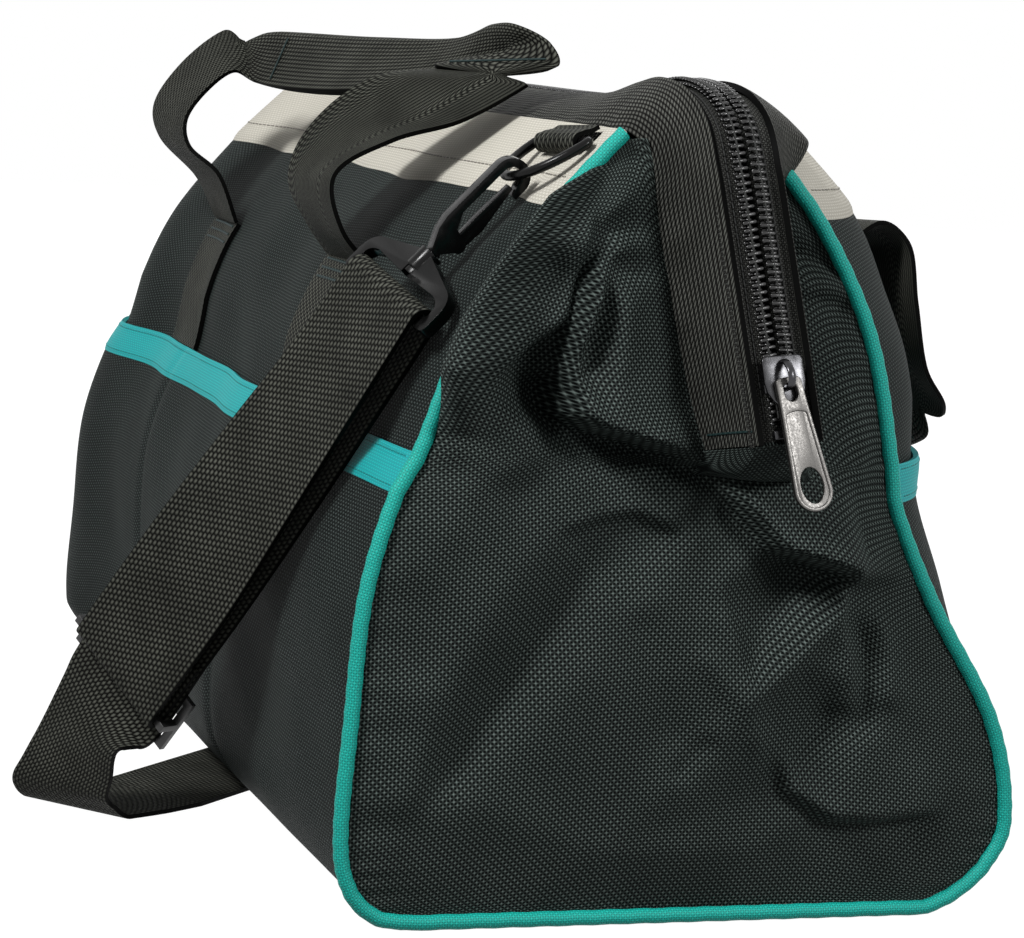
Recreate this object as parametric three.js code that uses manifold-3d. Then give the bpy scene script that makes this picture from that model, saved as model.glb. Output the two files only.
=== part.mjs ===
// Zippered tool bag: a soft fabric shell with piped end panels, a coil zip that runs over the top and
// down both ends, two carry handles and a clip-on shoulder strap.
// Millimetres. +Z is up, +X is the end with the zip pull, -Y is the front.
// The origin is the middle of the underside of the base fabric.
import * as THREE from 'three';
import { mergeVertices } from 'three/addons/utils/BufferGeometryUtils.js';
import Module from 'manifold-3d';

const wasm = await Module();
wasm.setup();

// Driving dimensions

const bagLength = 500;          // over the end seams at the floor
const endLeanIn = 22;           // how far each end seam leans in at the top
const baseHalfDepth = 98;       // flat part of the base, front and rear of the middle
const sideBulge = 15;           // how far the long sides belly out at half length, near the top
const rearPuff = 30;            // how far the rear side puffs out where its seam is pulled in
const clothThickness = 2;       // coated fabric with its lining
const seamGap = 0.3;            // between two sewn pieces
const pipingRadius = 2.75;
const pipingProud = 2;          // how far the piping stands out of the panels
const baseLift = 0.35;          // how far the base panel is drawn up from the seams round it
const pocketTop = 148;          // height of the open edge of the pockets
const bindingHeight = 14;
const bandBottom = 249.3;
const bandTop = 274;
const baseBoardThickness = 4;
const baseBoardMargin = 4;      // from the board to the edge of the flat base

const mouthWebbingThickness = 2.4;
const zipTapeThickness = 1.2;
const zipTapeFold = 8;          // how far the tape runs on below the webbing
const zipTapeHalfWidth = 11.5;
const zipTapeGap = 0.7;         // from the underside of the teeth to the tape
const coilPitch = 10.8;
const coilHeight = 3.2;
const coilWidth = 4.6;          // of one row of teeth
const coilHalfGap = 1.3;        // room between the two rows for the slider's divider
const webbingFromZip = 12;      // middle of the zip to the inner edge of the mouth webbing

const sliderLength = 18;
const sliderNoseWidth = 16;
const sliderTailWidth = 15.2;
const sliderAboveFoot = 21;     // from the foot of the tongue to the middle of the slider
const sliderPlate = 1.6;
const sliderRunning = 0.45;     // clearance over the teeth
const sliderFlange = 1.3;
const dividerWidth = 1.5;
const bailInner = 3.1;
const bailThickness = 1.9;
const bailWidth = 3.2;
const pullLength = 46;
const pullTipWidth = 14;
const pullTopWidth = 9.4;
const pullThickness = 2;
const pullBarThickness = 2;
const pullSlot = 6.4;           // length of the window that rides on the bail
const pullSlotWidth = 4.6;
const pullHole = { length: 13, width: 8.6 };

const strapWidth = 50;
const strapThickness = 1.7;
const handleSpacing = 100;      // half the distance between the two legs of a handle
const bartackHeight = 217;

const ringWireRadius = 1.8;
const ringHalfWidth = 20;
const ringDepth = 24.2;
const tabWidth = 30;

const hookThickness = 5.6;
const hookOpening = 7.4;        // width inside the hook
const hookRail = 3.2;
const hookReach = 43;           // from the swivel to the middle of the hook's bend
const stemRadius = 2;
const stemClearance = 0.4;
const collarRadius = 4.6;
const collarHalfLength = 4;
const eyeDrop = 17;             // from the swivel to the bar that holds the strap
const eyeBar = 5;
const gateThickness = 3.4;
const gatePinRadius = 1.1;
const gatePinClearance = 0.35;

const glideThickness = 2.4;
const glideBar = 3.2;
const layerGap = 0.4;           // between webbing layers and what they wrap

// Finishes

const finish = (color, roughness, metalness = 0) => new THREE.MeshStandardMaterial({ color, roughness, metalness });
const fabric = finish(0x22282a, 0.85);
const lining = finish(0x1b1f20, 0.9);
const board = finish(0x2b2b2b, 0.7);
const pale = finish(0xcfcabc, 0.85);
const teal = finish(0x12a79b, 0.75);
const webbing = finish(0x1c1d19, 0.8);
const tapeCloth = finish(0x17191a, 0.85);
const nylon = finish(0x141414, 0.4);
const gunmetal = finish(0x3a3b3c, 0.3, 0.9);
const satin = finish(0x8e8a86, 0.35, 0.8);
const blackMetal = finish(0x0c0c0c, 0.2, 0.6);
const plastic = finish(0x101010, 0.5);

const bag = new THREE.Group();
const vec = (x, y, z) => new THREE.Vector3(x, y, z);

function addPiece(name, geometry, material) {
  const piece = new THREE.Mesh(geometry, material);
  piece.name = name;
  bag.add(piece);
  return piece;
}

// Closed solids from grids, curves and cuts

// A sheet of cloth: the grid is one face, row by row, and the thickness is laid behind it, or in
// front of it when it is negative.
function clothShell(grid, thickness, keep = () => true) {
  const rows = grid.length;
  const columns = grid[0].length;
  const index = (i, j) => i * columns + j;
  const normals = grid.flat().map(() => new THREE.Vector3());
  const kept = [];
  for (let i = 0; i < rows - 1; i++) {
    for (let j = 0; j < columns - 1; j++) {
      if (!keep(i, j)) continue;
      kept.push([index(i, j), index(i, j + 1), index(i + 1, j + 1), index(i + 1, j)]);
    }
  }
  const points = grid.flat();
  for (const [a, b, c, d] of kept) {
    const normal = points[c].clone().sub(points[a]).cross(points[d].clone().sub(points[b])).normalize();
    for (const corner of [a, b, c, d]) normals[corner].add(normal);
  }
  const count = points.length;
  const positions = [];
  for (const point of points) positions.push(point.x, point.y, point.z);
  points.forEach((point, k) => {
    const inner = point.clone().addScaledVector(normals[k].normalize(), -thickness);
    positions.push(inner.x, inner.y, inner.z);
  });
  const edges = new Map();
  const triangles = [];
  const face = (a, b, c) => (thickness > 0 ? triangles.push(a, b, c) : triangles.push(a, c, b));
  for (const [a, b, c, d] of kept) {
    face(a, b, c);
    face(a, c, d);
    face(a + count, c + count, b + count);
    face(a + count, d + count, c + count);
    for (const [from, to] of [[a, b], [b, c], [c, d], [d, a]]) {
      if (!edges.delete(`${to},${from}`)) edges.set(`${from},${to}`, [from, to]);
    }
  }
  for (const [from, to] of edges.values()) {
    face(from, from + count, to + count);
    face(from, to + count, to);
  }
  return indexedGeometry(positions, triangles);
}

function indexedGeometry(positions, triangles) {
  const used = new Map();
  const packed = [];
  const index = triangles.map((k) => {
    if (!used.has(k)) {
      used.set(k, used.size);
      packed.push(positions[3 * k], positions[3 * k + 1], positions[3 * k + 2]);
    }
    return used.get(k);
  });
  const geometry = new THREE.BufferGeometry();
  geometry.setAttribute('position', new THREE.Float32BufferAttribute(packed, 3));
  geometry.setIndex(index);
  return geometry;
}

// A strap laid between its two edges, which are smooth curves through the chosen points.
function strapBetween(leftEdge, rightEdge, thickness, steps) {
  const left = new THREE.CatmullRomCurve3(leftEdge, false, 'centripetal');
  const right = new THREE.CatmullRomCurve3(rightEdge, false, 'centripetal');
  const grid = [];
  for (let i = 0; i <= steps; i++) {
    grid.push([left.getPoint(i / steps), right.getPoint(i / steps)]);
  }
  return clothShell(grid, thickness);
}

function circle(radius, sides) {
  const shape = new THREE.Shape();
  for (let k = 0; k < sides; k++) {
    const angle = (2 * Math.PI * k) / sides;
    const x = radius * Math.cos(angle);
    const y = radius * Math.sin(angle);
    if (k === 0) shape.moveTo(x, y);
    else shape.lineTo(x, y);
  }
  shape.closePath();
  return shape;
}

function roundBar(curve, radius, sides, steps) {
  return new THREE.ExtrudeGeometry(circle(radius, sides), { steps, extrudePath: curve, bevelEnabled: false });
}

function plate(shape, thickness, segments = 8) {
  const geometry = new THREE.ExtrudeGeometry(shape, { depth: thickness, bevelEnabled: false, curveSegments: segments });
  return geometry.translate(0, 0, -thickness / 2);
}

function toSolid(geometry) {
  const bare = geometry.clone();
  bare.deleteAttribute('normal');
  bare.deleteAttribute('uv');
  const merged = mergeVertices(bare, 1e-4);
  return new wasm.Manifold(new wasm.Mesh({
    numProp: 3,
    vertProperties: new Float32Array(merged.attributes.position.array),
    triVerts: new Uint32Array(merged.index.array),
  }));
}

function fromSolid(solid) {
  const mesh = solid.getMesh();
  const geometry = new THREE.BufferGeometry();
  geometry.setAttribute('position', new THREE.BufferAttribute(new Float32Array(mesh.vertProperties), 3));
  geometry.setIndex(new THREE.BufferAttribute(new Uint32Array(mesh.triVerts), 1));
  return geometry;
}

function joined(...geometries) {
  return fromSolid(geometries.map(toSolid).reduce((whole, part) => whole.add(part)));
}

function cut(body, ...tools) {
  return fromSolid(tools.map(toSolid).reduce((rest, tool) => rest.subtract(tool), toSolid(body)));
}

// A smooth value through a table of [level, value] pairs.
function smoothThrough(levels, values) {
  const slopes = levels.map((_, k) => {
    const before = Math.max(k - 1, 0);
    const after = Math.min(k + 1, levels.length - 1);
    return (values[after] - values[before]) / (levels[after] - levels[before]);
  });
  return (level) => {
    let k = levels.findIndex((next, n) => n > 0 && level <= next) - 1;
    if (k < 0) k = level <= levels[0] ? 0 : levels.length - 2;
    const span = levels[k + 1] - levels[k];
    const t = (level - levels[k]) / span;
    const [t2, t3] = [t * t, t * t * t];
    return values[k] * (2 * t3 - 3 * t2 + 1) + slopes[k] * span * (t3 - 2 * t2 + t)
      + values[k + 1] * (3 * t2 - 2 * t3) + slopes[k + 1] * span * (t3 - t2);
  };
}

// The seams. A seam is followed by its level: the height above the floor, and below 28 mm the place
// along the rounded bottom corner.

const flatLevel = -24;          // where the rounded corner meets the flat base
const topLevel = bandTop + 6;
const upper = (below) => bandTop - below;
const seamLevels = [flatLevel, -12, 0, 28, 70, 113, 147, 162, upper(77), upper(54), upper(25), bandTop, topLevel];
const pipingSink = pipingRadius - pipingProud;
const flatSeamZ = -pipingSink - baseLift;
const seamTop = [upper(77), upper(54), upper(25), bandTop, bandTop + 5];
const regularDepth = [baseHalfDepth, 111, 120.5, 125.5, 124, 121, 112, 104, 91, 79, 57, 34, 28.5];
const regularHeight = [flatSeamZ, 1, 9.5, 28, 70, 113, 147, 162, ...seamTop];
const pinchedDepth = [baseHalfDepth, 109, 120, 127.5, 119, 92.5, 76, 73.5, 66.5, 58, 41, 20, 17];
const pinchedHeight = [flatSeamZ + 1.5, 5.5, 15, 33, 70, 113, 147, 162, ...seamTop];
const bellyShare = smoothThrough(seamLevels, [0, 0.05, 0.12, 0.33, 0.6, 0.7, 0.7, 0.76, 0.93, 0.97, 0.75, 0.42, 0.3]);
const puffShare = smoothThrough(seamLevels, [0, 0, 0, 0, 0, 0, 0, 0.3, 0.45, 0.5, 0.85, 0.85, 0.8]);

function makeSeam(depths, heights, side) {
  const depth = smoothThrough(seamLevels, depths);
  const height = smoothThrough(seamLevels, heights);
  return (level) => ({ y: side * depth(level), z: height(level) });
}

const front = -1;
const rear = 1;
const seams = {
  right: { [front]: makeSeam(regularDepth, regularHeight, front), [rear]: makeSeam(pinchedDepth, pinchedHeight, rear) },
  left: { [front]: makeSeam(regularDepth, regularHeight, front), [rear]: makeSeam(regularDepth, regularHeight, rear) },
};
const endSign = { right: 1, left: -1 };
const halfLength = bagLength / 2;

function endReach(z) {
  return halfLength - endLeanIn * Math.pow(Math.max(z, 0) / bandTop, 1.8);
}

function seamPoint(end, side, level) {
  const { y, z } = seams[end][side](level);
  return vec(endSign[end] * endReach(z), y, z);
}

// Inward direction of a seam's profile in the plane of the end.
function seamInward(end, side, level) {
  const step = 0.5;
  const below = seams[end][side](level - step);
  const above = seams[end][side](level + step);
  const along = new THREE.Vector2(above.y - below.y, above.z - below.z).normalize();
  return side === front ? vec(0, along.y, -along.x) : vec(0, -along.y, along.x);
}

const panelSink = pipingSink;                     // outer face of a panel, inside the seam line
const edgeGap = pipingRadius + seamGap;           // edge of a panel, from the seam line
const underSink = panelSink + clothThickness + seamGap;

// A point of the long sides. across runs from 0 at the left end to 1 at the right end. The right
// seam pulls only the cloth near it, and the rear side puffs out beside its pulled seam.
function sidePoint(side, across, level, sink) {
  const pull = Math.exp(-14 * (1 - across));
  const steep = side === rear ? 1 + 0.5 * pull : 1;
  const depth = panelSink + (sink - panelSink) * steep;
  const leftSeam = seamPoint('left', side, level).addScaledVector(seamInward('left', side, level), depth);
  const rightSeam = seamPoint('right', side, level).addScaledVector(seamInward('right', side, level), depth);
  const x = THREE.MathUtils.lerp(leftSeam.x + edgeGap, rightSeam.x - edgeGap, across);
  const point = leftSeam.lerp(rightSeam, pull).setX(x);
  const belly = Math.pow(1 - (2 * across - 1) ** 2, 0.8);
  const puff = side === rear ? (1 - pull) * Math.exp(-(((across - 0.9) / 0.14) ** 2)) : 0;
  point.y += side * (sideBulge * belly * bellyShare(level) + rearPuff * puff * puffShare(level));
  return point;
}

function sidePointAt(side, x, level, sink) {
  let low = 0;
  let high = 1;
  for (let k = 0; k < 24; k++) {
    const middle = (low + high) / 2;
    if (sidePoint(side, middle, level, sink).x < x) low = middle;
    else high = middle;
  }
  return sidePoint(side, low, level, sink);
}

// Outer face of the main side panels: below the pocket's edge they lie behind the pocket.
function panelFace(level) {
  const clear = THREE.MathUtils.smoothstep(level, pocketTop + bindingHeight + 2, pocketTop + bindingHeight + 22);
  return THREE.MathUtils.lerp(underSink, panelSink, clear);
}

const spread = (from, to, steps) => Array.from({ length: steps + 1 }, (_, k) => from + ((to - from) * k) / steps);

// Rows run upwards and columns run along the bag, turned so that the outer face shows.
function sideGrid(side, levels, sinkAt) {
  const across = side === front ? spread(0, 1, 7) : [...rearColumns].reverse();
  return levels.map((level) => across.map((u) => sidePoint(side, u, level, sinkAt(level))));
}

// All pieces along a seam are laid over the same stops, so that they keep their distance.
const stops = [flatLevel, -12, 0, 8, 17, 28, 48, 70, 92, 113, 130, pocketTop, pocketTop + bindingHeight,
  176, upper(77), upper(54), upper(39), bandBottom, upper(12), bandTop];
const levelsFrom = (low, high) => [low, ...stops.filter((stop) => stop > low + 1 && stop < high - 1), high];

const rearColumns = [0, 0.14, 0.3, 0.46, 0.64, 0.7, 0.77, 0.85, 0.91, 0.955, 1];
const sideNames = { [front]: 'front', [rear]: 'rear' };
const flatEdge = flatLevel + 3 * seamGap;
const bindingFace = panelSink - 0.4;

for (const side of [front, rear]) {
  const add = (part, low, high, sinkAt, thickness, material) => {
    const grid = sideGrid(side, levelsFrom(low, high), sinkAt);
    addPiece(`${sideNames[side]}_${part}`, clothShell(grid, thickness), material);
  };
  add('panel', flatEdge, bandBottom - 2 * seamGap, panelFace, clothThickness, fabric);
  add('pocket', flatEdge, pocketTop - 3 * seamGap, () => panelSink, clothThickness, fabric);
  add('pocket_binding', pocketTop, pocketTop + bindingHeight, () => bindingFace, underSink - seamGap - bindingFace, teal);
  add('band', bandBottom, bandTop, () => panelSink, clothThickness, pale);
}

// The base: a flat panel between the two rounded corners, with a stiff board lying on it.

function roundedBoard(length, depth, thickness, radius) {
  const [a, b] = [length / 2, depth / 2];
  const outline = new THREE.Shape();
  outline.moveTo(-a + radius, -b);
  outline.lineTo(a - radius, -b);
  outline.absarc(a - radius, -b + radius, radius, -Math.PI / 2, 0);
  outline.absarc(a - radius, b - radius, radius, 0, Math.PI / 2);
  outline.absarc(-a + radius, b - radius, radius, Math.PI / 2, Math.PI);
  outline.absarc(-a + radius, -b + radius, radius, Math.PI, 1.5 * Math.PI);
  outline.closePath();
  return plate(outline, thickness, 6);
}

const baseLength = bagLength - 2 * edgeGap;
const basePanel = new THREE.BoxGeometry(baseLength, 2 * baseHalfDepth, clothThickness);
addPiece('base_panel', basePanel, fabric).position.z = clothThickness / 2;

const boardDepth = 2 * (baseHalfDepth - baseBoardMargin);
const baseBoard = roundedBoard(baseLength - 4 * baseBoardMargin, boardDepth, baseBoardThickness, 12);
addPiece('base_board', baseBoard, board).position.z = clothThickness + seamGap + baseBoardThickness / 2;

// The zip line. It runs up the left end, over the top and down the right end. The right end's tongue
// leans to the rear, as the fabric there is pulled.

const tongueTop = { right: vec(halfLength + 5, 5, bandTop - 11), left: vec(-halfLength - 5, 0, bandTop - 11) };
const tongueFoot = { right: vec(halfLength + 32.9, 15.7, bandTop - 99), left: vec(-halfLength - 32.9, 0, bandTop - 99) };
const cornerStart = halfLength - 45;

function zipCorner(end) {
  const s = endSign[end];
  const lean = tongueTop[end].y;
  const at = (fromSeam, share, above) => vec(s * (halfLength - fromSeam), share * lean, bandTop + above);
  return [at(100, 0, 14), at(68, 0, 19), at(45, 0, 21.5), at(20, 0.2, 18), at(5, 0.6, 8)];
}

const arch = new THREE.CatmullRomCurve3([
  tongueTop.left, ...zipCorner('left').reverse(), vec(0, 0, bandTop + 13), ...zipCorner('right'), tongueTop.right,
], false, 'centripetal');
const zipLine = new THREE.CurvePath();
zipLine.add(new THREE.LineCurve3(tongueFoot.left, tongueTop.left));
zipLine.add(arch);
zipLine.add(new THREE.LineCurve3(tongueTop.right, tongueFoot.right));
const zipLength = zipLine.getLength();
const tongueLength = tongueTop.right.distanceTo(tongueFoot.right);

// Position and directions at a distance along the zip: ahead, across (towards the rear) and out.
function zipFrame(distance) {
  const t = THREE.MathUtils.clamp(distance / zipLength, 0, 1);
  const step = 0.004;
  const before = zipLine.getPointAt(Math.max(t - step, 0));
  const after = zipLine.getPointAt(Math.min(t + step, 1));
  const ahead = after.sub(before).normalize();
  const across = vec(0, 1, 0).addScaledVector(ahead, -ahead.y).normalize();
  return { point: zipLine.getPointAt(t), ahead, across, out: ahead.clone().cross(across) };
}

// Outer edge of the mouth webbing: along the bands on top, then down the root of each tongue.
const rootLevels = [upper(107), upper(90), upper(65), upper(32), upper(12), upper(2)];
const rootReach = smoothThrough(rootLevels, [-1, -7, -14, -21, -21.5, -22].map((x) => halfLength + x));
const regularRoot = smoothThrough(rootLevels, [19, 21.6, 23.5, 25.4, 27, 28.4]);
const pinchedRoot = smoothThrough(rootLevels, [19, 20, 21, 21, 14, 11]);
const [rootFoot, rootTop] = [upper(107), upper(20)];

function tongueLean(end, level) {
  const t = (tongueTop[end].z - level) / (tongueTop[end].z - tongueFoot[end].z);
  return THREE.MathUtils.lerp(tongueTop[end].y, tongueFoot[end].y, Math.max(t, -0.2));
}

function rootPoint(end, side, level) {
  const halfWidth = end === 'right' && side === rear ? pinchedRoot(level) : regularRoot(level);
  return vec(endSign[end] * rootReach(level), tongueLean(end, level) + side * halfWidth, level);
}

// Stations of the webbing along the zip line, from the left foot to the right foot.
const cornerRun = arch.getLength() / 2 - cornerStart;
const bendStart = tongueLength + cornerRun;
const webbingStations = [[0, tongueLength, 5], [tongueLength, bendStart, 5], [bendStart, zipLength - bendStart, 14],
  [zipLength - bendStart, zipLength - tongueLength, 5], [zipLength - tongueLength, zipLength, 5],
].flatMap(([from, to, steps], k) => spread(from, to, steps).slice(k === 0 ? 0 : 1));

const bandEdge = (side, x) => sidePointAt(side, x, bandTop + 1.6, panelSink);

function outerEdge(side, distance) {
  const end = distance > zipLength / 2 ? 'right' : 'left';
  const fromFoot = end === 'right' ? zipLength - distance : distance;
  if (fromFoot >= bendStart) return bandEdge(side, zipFrame(distance).point.x);
  if (fromFoot <= tongueLength) {
    return rootPoint(end, side, THREE.MathUtils.lerp(rootFoot, rootTop, fromFoot / tongueLength));
  }
  const corner = rootPoint(end, side, upper(4));
  const pulledIn = end === 'right' && side === rear ? 11 : 1.5;
  corner.add(vec(4 * endSign[end], -pulledIn * side, 0)).setZ(bandTop + 4.2);
  const edge = [rootPoint(end, side, rootTop), corner, bandEdge(side, endSign[end] * cornerStart)];
  return new THREE.QuadraticBezierCurve3(...edge).getPoint((fromFoot - tongueLength) / cornerRun);
}

function innerEdge(side, distance) {
  const { point, across, out } = zipFrame(distance);
  return point.clone().addScaledVector(across, side * webbingFromZip).addScaledVector(out, -0.6);
}

for (const side of [front, rear]) {
  const name = sideNames[side];
  const webbingRows = webbingStations.map((distance) => {
    const outer = outerEdge(side, distance);
    const inner = innerEdge(side, distance);
    const crown = zipFrame(distance).out.multiplyScalar(1.2);
    const middle = outer.clone().lerp(inner, 0.5).add(crown);
    return side === front ? [inner, middle, outer] : [outer, middle, inner];
  });
  addPiece(`${name}_mouth_webbing`, clothShell(webbingRows, mouthWebbingThickness), webbing);

  const tapeDrop = coilHeight + zipTapeGap;
  const tapeRows = webbingStations.map((distance) => {
    const { point, ahead, across, out } = zipFrame(distance);
    const slope = outerEdge(side, distance).sub(innerEdge(side, distance)).normalize();
    const inward = slope.clone().cross(ahead).normalize();
    if (inward.dot(out) > 0) inward.negate();
    const below = mouthWebbingThickness + 0.6;
    const run = side * slope.dot(across);
    const bend = webbingFromZip + ((tapeDrop - 0.6) * run - below) / -slope.dot(out);
    const flat = (w) => point.clone().addScaledVector(across, side * w).addScaledVector(out, -tapeDrop);
    const under = innerEdge(side, distance).addScaledVector(slope, zipTapeFold).addScaledVector(inward, below);
    const columns = [flat(coilHalfGap), flat(Math.min(bend, zipTapeHalfWidth)), under];
    return side === front ? columns : columns.reverse();
  });
  addPiece(`${name}_zip_tape`, clothShell(tapeRows, zipTapeThickness), tapeCloth);
}

// The zip teeth: one ribbed coil on each tape, from end to end.
function coilRow(side) {
  const clear = 6;
  const count = Math.round((zipLength - 2 * clear) / coilPitch);
  const rings = [];
  for (let k = 0; k <= 2 * count; k++) {
    const { point, across, out } = zipFrame(clear + ((zipLength - 2 * clear) * k) / (2 * count));
    const rise = k % 2 === 1 ? 0 : coilHeight * 0.34;
    const place = (w, n) => point.clone().addScaledVector(across, side * w).addScaledVector(out, n);
    rings.push([place(coilHalfGap, -coilHeight), place(coilHalfGap, -rise), place(coilHalfGap + coilWidth, -rise - 0.4),
      place(coilHalfGap + coilWidth, -coilHeight)]);
  }
  return loftRings(rings, side === front);
}

// A closed solid through rings of the same number of points, with flat ends.
function loftRings(rings, turned) {
  const sides = rings[0].length;
  const positions = rings.flat().flatMap((p) => [p.x, p.y, p.z]);
  const triangles = [];
  const face = (a, b, c) => (turned ? triangles.push(a, b, c) : triangles.push(a, c, b));
  for (let i = 0; i < rings.length - 1; i++) {
    for (let j = 0; j < sides; j++) {
      const next = (j + 1) % sides;
      const [a, b, c, d] = [i * sides + j, i * sides + next, (i + 1) * sides + next, (i + 1) * sides + j];
      face(a, b, c);
      face(a, c, d);
    }
  }
  const last = (rings.length - 1) * sides;
  for (let j = 1; j < sides - 1; j++) {
    face(0, j + 1, j);
    face(last, last + j, last + j + 1);
  }
  return indexedGeometry(positions, triangles);
}

addPiece('front_zip_coil', coilRow(front), nylon);
addPiece('rear_zip_coil', coilRow(rear), nylon);

// Groups placed on the zip line: local x runs ahead, local y across and local z out.
function onZip(distance) {
  const { point, ahead, across, out } = zipFrame(distance);
  return new THREE.Matrix4().makeBasis(ahead, across, out).setPosition(point);
}

for (const [name, distance] of [['left_zip_stop', 3], ['right_zip_stop', zipLength - 3]]) {
  const stop = new THREE.BoxGeometry(3, 2 * (coilHalfGap + coilWidth), coilHeight - 0.2);
  stop.translate(0, 0, -coilHeight / 2 + 0.1);
  addPiece(name, stop.applyMatrix4(onZip(distance)), gunmetal);
}

// The slider: two plates round the teeth, joined by a divider at the nose, with a cast bail on top.

const sliderCentre = zipLength - sliderAboveFoot;
const sliderTop = sliderRunning;
const sliderUnder = -coilHeight - zipTapeGap - zipTapeThickness - sliderRunning;

function sliderPlan(inset) {
  const half = sliderLength / 2;
  const [nose, tail] = [sliderNoseWidth / 2 - inset, sliderTailWidth / 2 - inset];
  const plan = new THREE.Shape();
  plan.moveTo(-half, -tail + 2);
  plan.quadraticCurveTo(-half, -tail, -half + 2, -tail);
  plan.lineTo(half - 8, -nose);
  plan.quadraticCurveTo(half - 1, -nose, half, 0);
  plan.quadraticCurveTo(half - 1, nose, half - 8, nose);
  plan.lineTo(-half + 2, tail);
  plan.quadraticCurveTo(-half, tail, -half, tail - 2);
  plan.closePath();
  return plan;
}

const bailBarHeight = sliderTop + sliderPlate + pullBarThickness / 2 + 0.5;

function sliderBody() {
  const topPlate = plate(sliderPlan(0), sliderPlate, 4).translate(0, 0, sliderTop + sliderPlate / 2);
  const lowerPlate = plate(sliderPlan(1), sliderPlate, 4).translate(0, 0, sliderUnder - sliderPlate / 2);
  const dividerHeight = sliderTop - sliderUnder + 0.8;
  const divider = new THREE.BoxGeometry(4, dividerWidth, dividerHeight)
    .translate(sliderLength / 2 - 3.5, 0, (sliderTop + sliderUnder) / 2);
  const flangeHeight = sliderTop + 2.6;
  const flanges = [-1, 1].map((s) => new THREE.BoxGeometry(sliderLength - 7, sliderFlange, flangeHeight + 0.4)
    .translate(-1.5, s * (sliderTailWidth - sliderFlange) / 2, sliderTop - flangeHeight / 2 + 0.2));
  const bailShape = new THREE.Shape();
  const outer = bailInner + bailThickness;
  const barHeight = bailBarHeight - sliderTop - sliderPlate;
  bailShape.moveTo(outer, -barHeight - 0.4);
  bailShape.lineTo(outer, 0);
  bailShape.absarc(0, 0, outer, 0, Math.PI);
  bailShape.lineTo(-outer, -barHeight - 0.4);
  bailShape.lineTo(-bailInner, -barHeight - 0.4);
  bailShape.lineTo(-bailInner, 0);
  bailShape.absarc(0, 0, bailInner, Math.PI, 0, true);
  bailShape.lineTo(bailInner, -barHeight - 0.4);
  bailShape.closePath();
  const bail = plate(bailShape, bailWidth, 8).rotateX(Math.PI / 2).translate(0, 0, bailBarHeight);
  return joined(topPlate, lowerPlate, divider, ...flanges, bail);
}

addPiece('slider_body', sliderBody().applyMatrix4(onZip(sliderCentre)), gunmetal);

// The pull hangs on the bail: a flat tab with a window at the top and an oval hole at the tip.
function pullTab() {
  const [top, tip] = [pullTopWidth / 2, pullTipWidth / 2];
  const start = -pullBarThickness / 2;
  const outline = new THREE.Shape();
  outline.moveTo(start, -top + 1.5);
  outline.quadraticCurveTo(start, -top, start + 1.5, -top);
  outline.lineTo(pullSlot + 3, -top - 0.3);
  outline.lineTo(pullLength - tip, -tip);
  outline.absarc(pullLength - tip, 0, tip, -Math.PI / 2, Math.PI / 2);
  outline.lineTo(pullSlot + 3, top + 0.3);
  outline.lineTo(start + 1.5, top);
  outline.quadraticCurveTo(start, top, start, top - 1.5);
  outline.closePath();
  const slot = new THREE.Path();
  slot.moveTo(pullBarThickness / 2, -pullSlotWidth / 2);
  slot.lineTo(pullBarThickness / 2, pullSlotWidth / 2);
  slot.lineTo(pullSlot, pullSlotWidth / 2);
  slot.lineTo(pullSlot, -pullSlotWidth / 2);
  slot.closePath();
  const hole = new THREE.Path();
  hole.absellipse(pullLength - pullHole.length / 2 - 2.6, 0, pullHole.length / 2, pullHole.width / 2, 0, 2 * Math.PI, true);
  outline.holes.push(slot, hole);
  return plate(outline, pullThickness, 10);
}

const pullPivot = onZip(sliderCentre).multiply(new THREE.Matrix4().makeTranslation(0, 0, bailBarHeight));
addPiece('zip_pull', pullTab().applyMatrix4(pullPivot), satin);

// The end panels, slit for the zip tongue. Rows run upwards, columns from the front seam to the rear.

const slitFoot = rootFoot - 4;
const halfColumns = 5;

// Soft shape of the end fabric: the pouch beside the tongue, the ridge below it and the dents.
function endRelief(end, across, y, z) {
  const hill = (cy, cz, ry, rz) => Math.exp(-(((y - cy) / ry) ** 2) - (((z - cz) / rz) ** 2));
  const fullness = 5 * Math.sin(Math.PI * THREE.MathUtils.clamp(z / 200, 0, 1));
  const share = end === 'right' ? 1 : 0.6;
  const pouch = 16 * hill(-40, 200, 17, 24) * THREE.MathUtils.smoothstep(z, 166, 180);
  const folds = 9 * hill(10, 146, 46, 24) - 6 * hill(-55, 160, 20, 12) - 4 * hill(48, 190, 14, 30) - 3 * hill(42, 45, 26, 20);
  return (fullness + share * (pouch + folds)) * Math.sqrt(Math.sin(Math.PI * across));
}

function endEdge(end, side, level) {
  const edge = seamPoint(end, side, level).addScaledVector(seamInward(end, side, level), edgeGap);
  edge.x = endSign[end] * (endReach(edge.z) - panelSink);
  return edge;
}

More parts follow.
